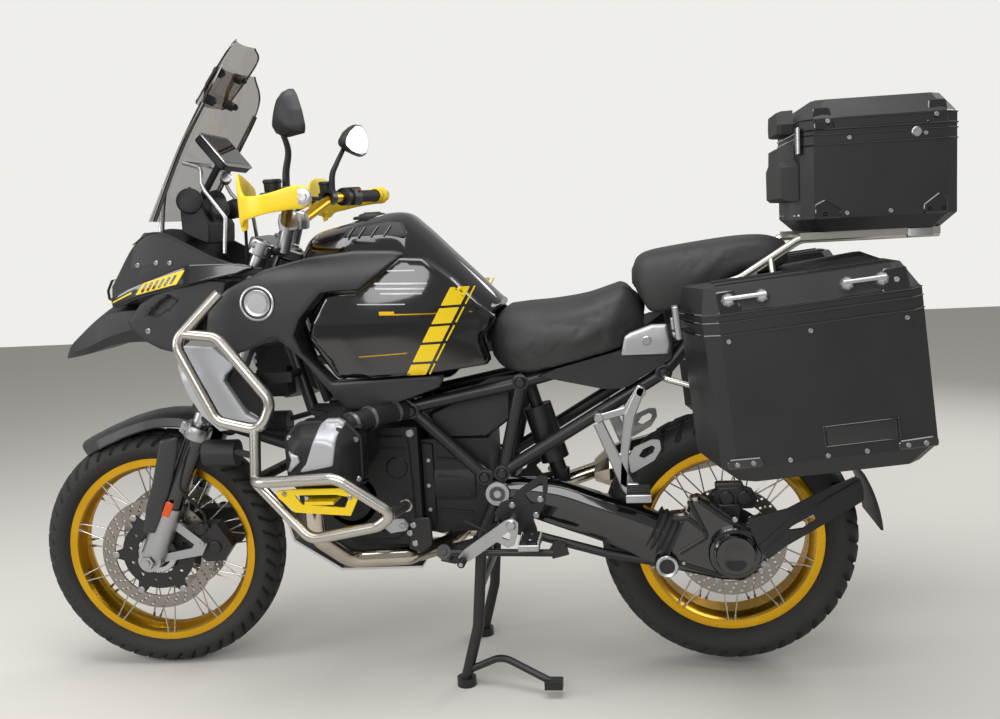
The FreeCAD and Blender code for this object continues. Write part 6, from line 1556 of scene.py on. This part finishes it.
BOX_RIVETS = ((-40, 298), (-200, 298), (-384, 298), (-131, 43), (-205, 43), (-281, 43))
CAP_RIVETS = ((-26, 46), (-58, 46), (-360, 46), (-394, 46))
CASE_LOOP = [(-398, 262), (24, 262), (54, 288), (4, 471), (-26, 497), (-398, 497), (-424, 471), (-424, 288)]
low_caps = [[(-6, 37), (-6, 52), (-14, 58), (-74, 56), (-78, 50), (-78, 37)],
            [(-418, 37), (-418, 52), (-410, 58), (-346, 56), (-342, 50), (-342, 37)]]
lid_caps = [[(-27, 352), (-27, 398), (-64, 398), (-74, 352)],
            [(-397, 352), (-397, 398), (-352, 398), (-342, 352)]]
for side, word in ((1, "left"), (-1, "right")):
    box, lid = f"case_{word}", f"{word}_lid"
    rivets = screws(CASE_SIDE, BOX_RIVETS) + screws(CASE_SIDE + 3, CAP_RIVETS)
    piece(f"{box}_rivets", on_case(joined(*rivets), side), steel_screw)
    seams = [bead(CASE_LOOP, z, 2.2) for z in (337, 312)]
    caps = [plate(cap, 6, 496, 500.5, 2) for cap in low_caps]
    label = plate([(-206, 62), (-206, 100), (-344, 100), (-344, 62)], 5, 496.8, 498.6, 0.8)
    frame_line = [plate([(a, b), (c, b), (c, d), (a, d)], 1, 496.8, 499.6, 0.6)
                  for a, b, c, d in ((-204, 59, -346, 62), (-204, 100, -346, 103), (-201, 59, -204, 103),
                                     (-346, 59, -349, 103))]
    piece(f"{box}_trim", on_case(joined(*seams, *caps, label, *frame_line), side), lacquer_black, smooth=30)
    latch = [box_of((46, 330, 300), (60, 380, 372), 2, 5), box_of((58, 340, 322), (66, 370, 348), 2, 5)]
    latch.append(turned([(0, 3), (6, 3), (8, 1), (8, -4), (0, -4)], (62, 355, 312), FORWARD, 24))
    piece(f"{box}_latch", on_case(joined(*latch), side), cast_silver)
    out = np.array((0, 56, 26)) / math.hypot(56, 26)
    caps = []
    for cap in lid_caps:
        flat = plate(cap, 6, 0, 5, 2)
        flat[0][:, 1] += lid_slope(flat[0][:, 2])
        caps.append(flat)
    band = bead([(-398, 262), (22, 262), (52, 288), (3, 470), (-27, 496), (-397, 496), (-423, 470),
                 (-423, 288)], 353.5, 2.6)
    ridges = [carried(circle(3, 8), [(-380, y, 407), (-30, y, 407)], UP) for y in (300, 330, 430)]
    piece(f"{lid}_trim", on_case(joined(*caps, band, *ridges), side), lacquer_black, lid, smooth=30)
    rivets = [screw((x, lid_slope(z) + 4, z), out, 5.5, 3.5) for x, z in ((-48, 374), (-374, 374))]
    feet = [turned([(0, 13), (9, 13), (14, 8), (16, 0), (0, 0)], (x, lid_slope(378), 378), out, 8)
            for x in (-50, -116, -281, -347)]
    piece(f"{lid}_fittings", on_case(joined(*rivets, *feet), side), cast_silver, lid, smooth=30)

# Top box: the same rivets, beads and caps, a lock in the lid, a catch in front.
TOP = dict(rear=-502.0, front=-166.0, half=200.0)


def top_loop(grow):
    """The top box's outline from above, with its cut corners."""
    a, b, y, c = TOP["rear"] - grow, TOP["front"] + grow, TOP["half"] + grow, 26
    return [(a + c, -y), (b - c, -y), (b, -y + c), (b, y - c), (b - c, y), (a + c, y), (a, y - c),
            (a, -y + c)]


rivets = [(-268, 1292), (-429, 1292), (-214, 1128), (-262, 1128), (-355, 1128), (-437, 1128), (-466, 1128)]
shapes = screws(200, rivets)
shapes += [screw((-166, y, 1126), FORWARD, 4.5, 3) for y in (-150, -90, 90, 150)]
piece("top_box_rivets", joined(*shapes, *map(mirrored, screws(200, rivets))), steel_screw)
low = [[(-193, 1118), (-193, 1150), (-214, 1160), (-248, 1138), (-248, 1118)],
       [(-475, 1118), (-475, 1152), (-456, 1162), (-424, 1138), (-424, 1118)]]
shapes = [bead(top_loop(0.3), 1302, 2.2), bead(top_loop(0.3), 1280, 2.2),
          *(pair(plate(cap, 5, 199, 203.5, 2)) for cap in low)]
piece("top_box_trim", joined(*shapes), lacquer_black, smooth=30)
high = [[(-193, 1312), (-193, 1362), (-228, 1362), (-238, 1312)],
        [(-475, 1312), (-475, 1364), (-438, 1364), (-430, 1312)]]
shapes = []
for cap in high:
    flat = plate(cap, 6, 199.5, 205, 2)
    flat[0][:, 1] -= np.maximum(flat[0][:, 2] - 1336, 0) * 30 / 44
    shapes.append(pair(flat))
shapes += [bead(top_loop(0.3), 1313.5, 2.6), bead(top_loop(0.3), 1336, 2.0)]
shapes += [carried(circle(3, 8), [(-462, y, 1381), (-206, y, 1381)], UP) for y in (-130, -60, 60, 130)]
piece("top_lid_trim", joined(*shapes), lacquer_black, "top_lid", smooth=30)
shapes = screws(204, ((-222, 1330), (-450, 1330)))
shapes += [mirrored(shape) for shape in shapes]
piece("top_lid_rivets", joined(*shapes), steel_screw, "top_lid")
lock = turned([(0, 2), (5, 2), (5, 4), (9, 4), (11, 2), (11, -3), (0, -3)], (-410, 200, 1296), SIDEWAYS, 28)
catch = [box_of((-166, 164, 1262), (-157, 186, 1322), 2, 4), lock, mirrored(lock)]
piece("top_box_catch", joined(*catch), cast_silver)


# Camera, as solved from the wheels and the cases.
EYE = np.array((207.4, 2568.9, 1139.6))
YAW, PITCH, ROLL = (math.radians(angle) for angle in (7.81, 7.41, -3.12))
LENS_MM = 36.75
look = np.array((math.sin(YAW) * math.cos(PITCH), -math.cos(YAW) * math.cos(PITCH), -math.sin(PITCH)))
level = np.array((-math.cos(YAW), -math.sin(YAW), 0.0))
upright = np.cross(level, look)
right = math.cos(ROLL) * level + math.sin(ROLL) * upright
above = -math.sin(ROLL) * level + math.cos(ROLL) * upright
camera_data = bpy.data.cameras.new("camera")
camera_data.lens = LENS_MM
camera_data.sensor_width = 36
camera_data.clip_end = 100
camera = bpy.data.objects.new("camera", camera_data)
bpy.context.scene.collection.objects.link(camera)
place = (EYE + (REAR_AXLE_X, 0, 0)) / 1000
camera.matrix_world = Matrix([[right[k], above[k], -look[k], place[k]] for k in range(3)] + [[0, 0, 0, 1]])
bpy.context.scene.camera = camera


# A pale floor under a pale sky, and soft lamps above, on the left, in front and behind.
ground_paint = bpy.data.materials.new("pale_floor")
ground_paint.use_nodes = True
shader = ground_paint.node_tree.nodes["Principled BSDF"]
shader.inputs["Base Color"].default_value = linear("#cfccc7")
shader.inputs["Roughness"].default_value = 0.9
floor_mesh = bpy.data.meshes.new("floor")
floor_mesh.from_pydata([(-9, -9, 0), (9, -9, 0), (9, 9, 0), (-9, 9, 0)], [], [(0, 1, 2, 3)])
floor = bpy.data.objects.new("floor", floor_mesh)
bpy.context.scene.collection.objects.link(floor)
floor_mesh.materials.append(ground_paint)

LAMPS = (
    # name, place (m), target (m), width, height (m), power (W)
    ("above", (0.2, 0.6, 3.6), (0.1, 0.0, 0.4), 3.6, 2.2, 100),
    ("left", (0.6, 3.8, 2.2), (0.1, 0.0, 0.6), 3.0, 1.8, 70),
    ("front", (3.6, 1.6, 1.8), (0.3, 0.0, 0.7), 1.8, 1.8, 45),
    ("behind", (-2.6, -2.8, 2.4), (0.0, 0.0, 0.8), 2.4, 1.6, 50),
)
for name, spot, target, width, height, power in LAMPS:
    lamp_data = bpy.data.lights.new(name, "AREA")
    lamp_data.shape, lamp_data.size, lamp_data.size_y, lamp_data.energy = "RECTANGLE", width, height, power
    lamp = bpy.data.objects.new(name, lamp_data)
    bpy.context.scene.collection.objects.link(lamp)
    lamp.location = spot
    lamp.rotation_euler = (Vector(target) - Vector(spot)).to_track_quat("-Z", "Y").to_euler()

world = bpy.data.worlds.new("studio")
bpy.context.scene.world = world
world.use_nodes = True
tree = world.node_tree
ground = tree.nodes["Background"]
ground.inputs["Strength"].default_value = 0.42
ground.inputs["Color"].default_value = linear("#f4f3f1")
seen = add(tree, "ShaderNodeBackground", Strength=1.0)
seen.inputs["Color"].default_value = linear("#efeeeb")
way = add(tree, "ShaderNodeLightPath")
any_seen = add(tree, "ShaderNodeMath", [(0, way.outputs["Is Camera Ray"]),
                                        (1, way.outputs["Is Transmission Ray"])],
               operation="MAXIMUM")
mixed = add(tree, "ShaderNodeMixShader", [("Fac", any_seen.outputs[0]), (1, ground.outputs[0]),
                                          (2, seen.outputs[0])])
tree.links.new(mixed.outputs[0], tree.nodes["World Output"].inputs["Surface"])
bpy.context.scene.view_settings.view_transform = "Standard"
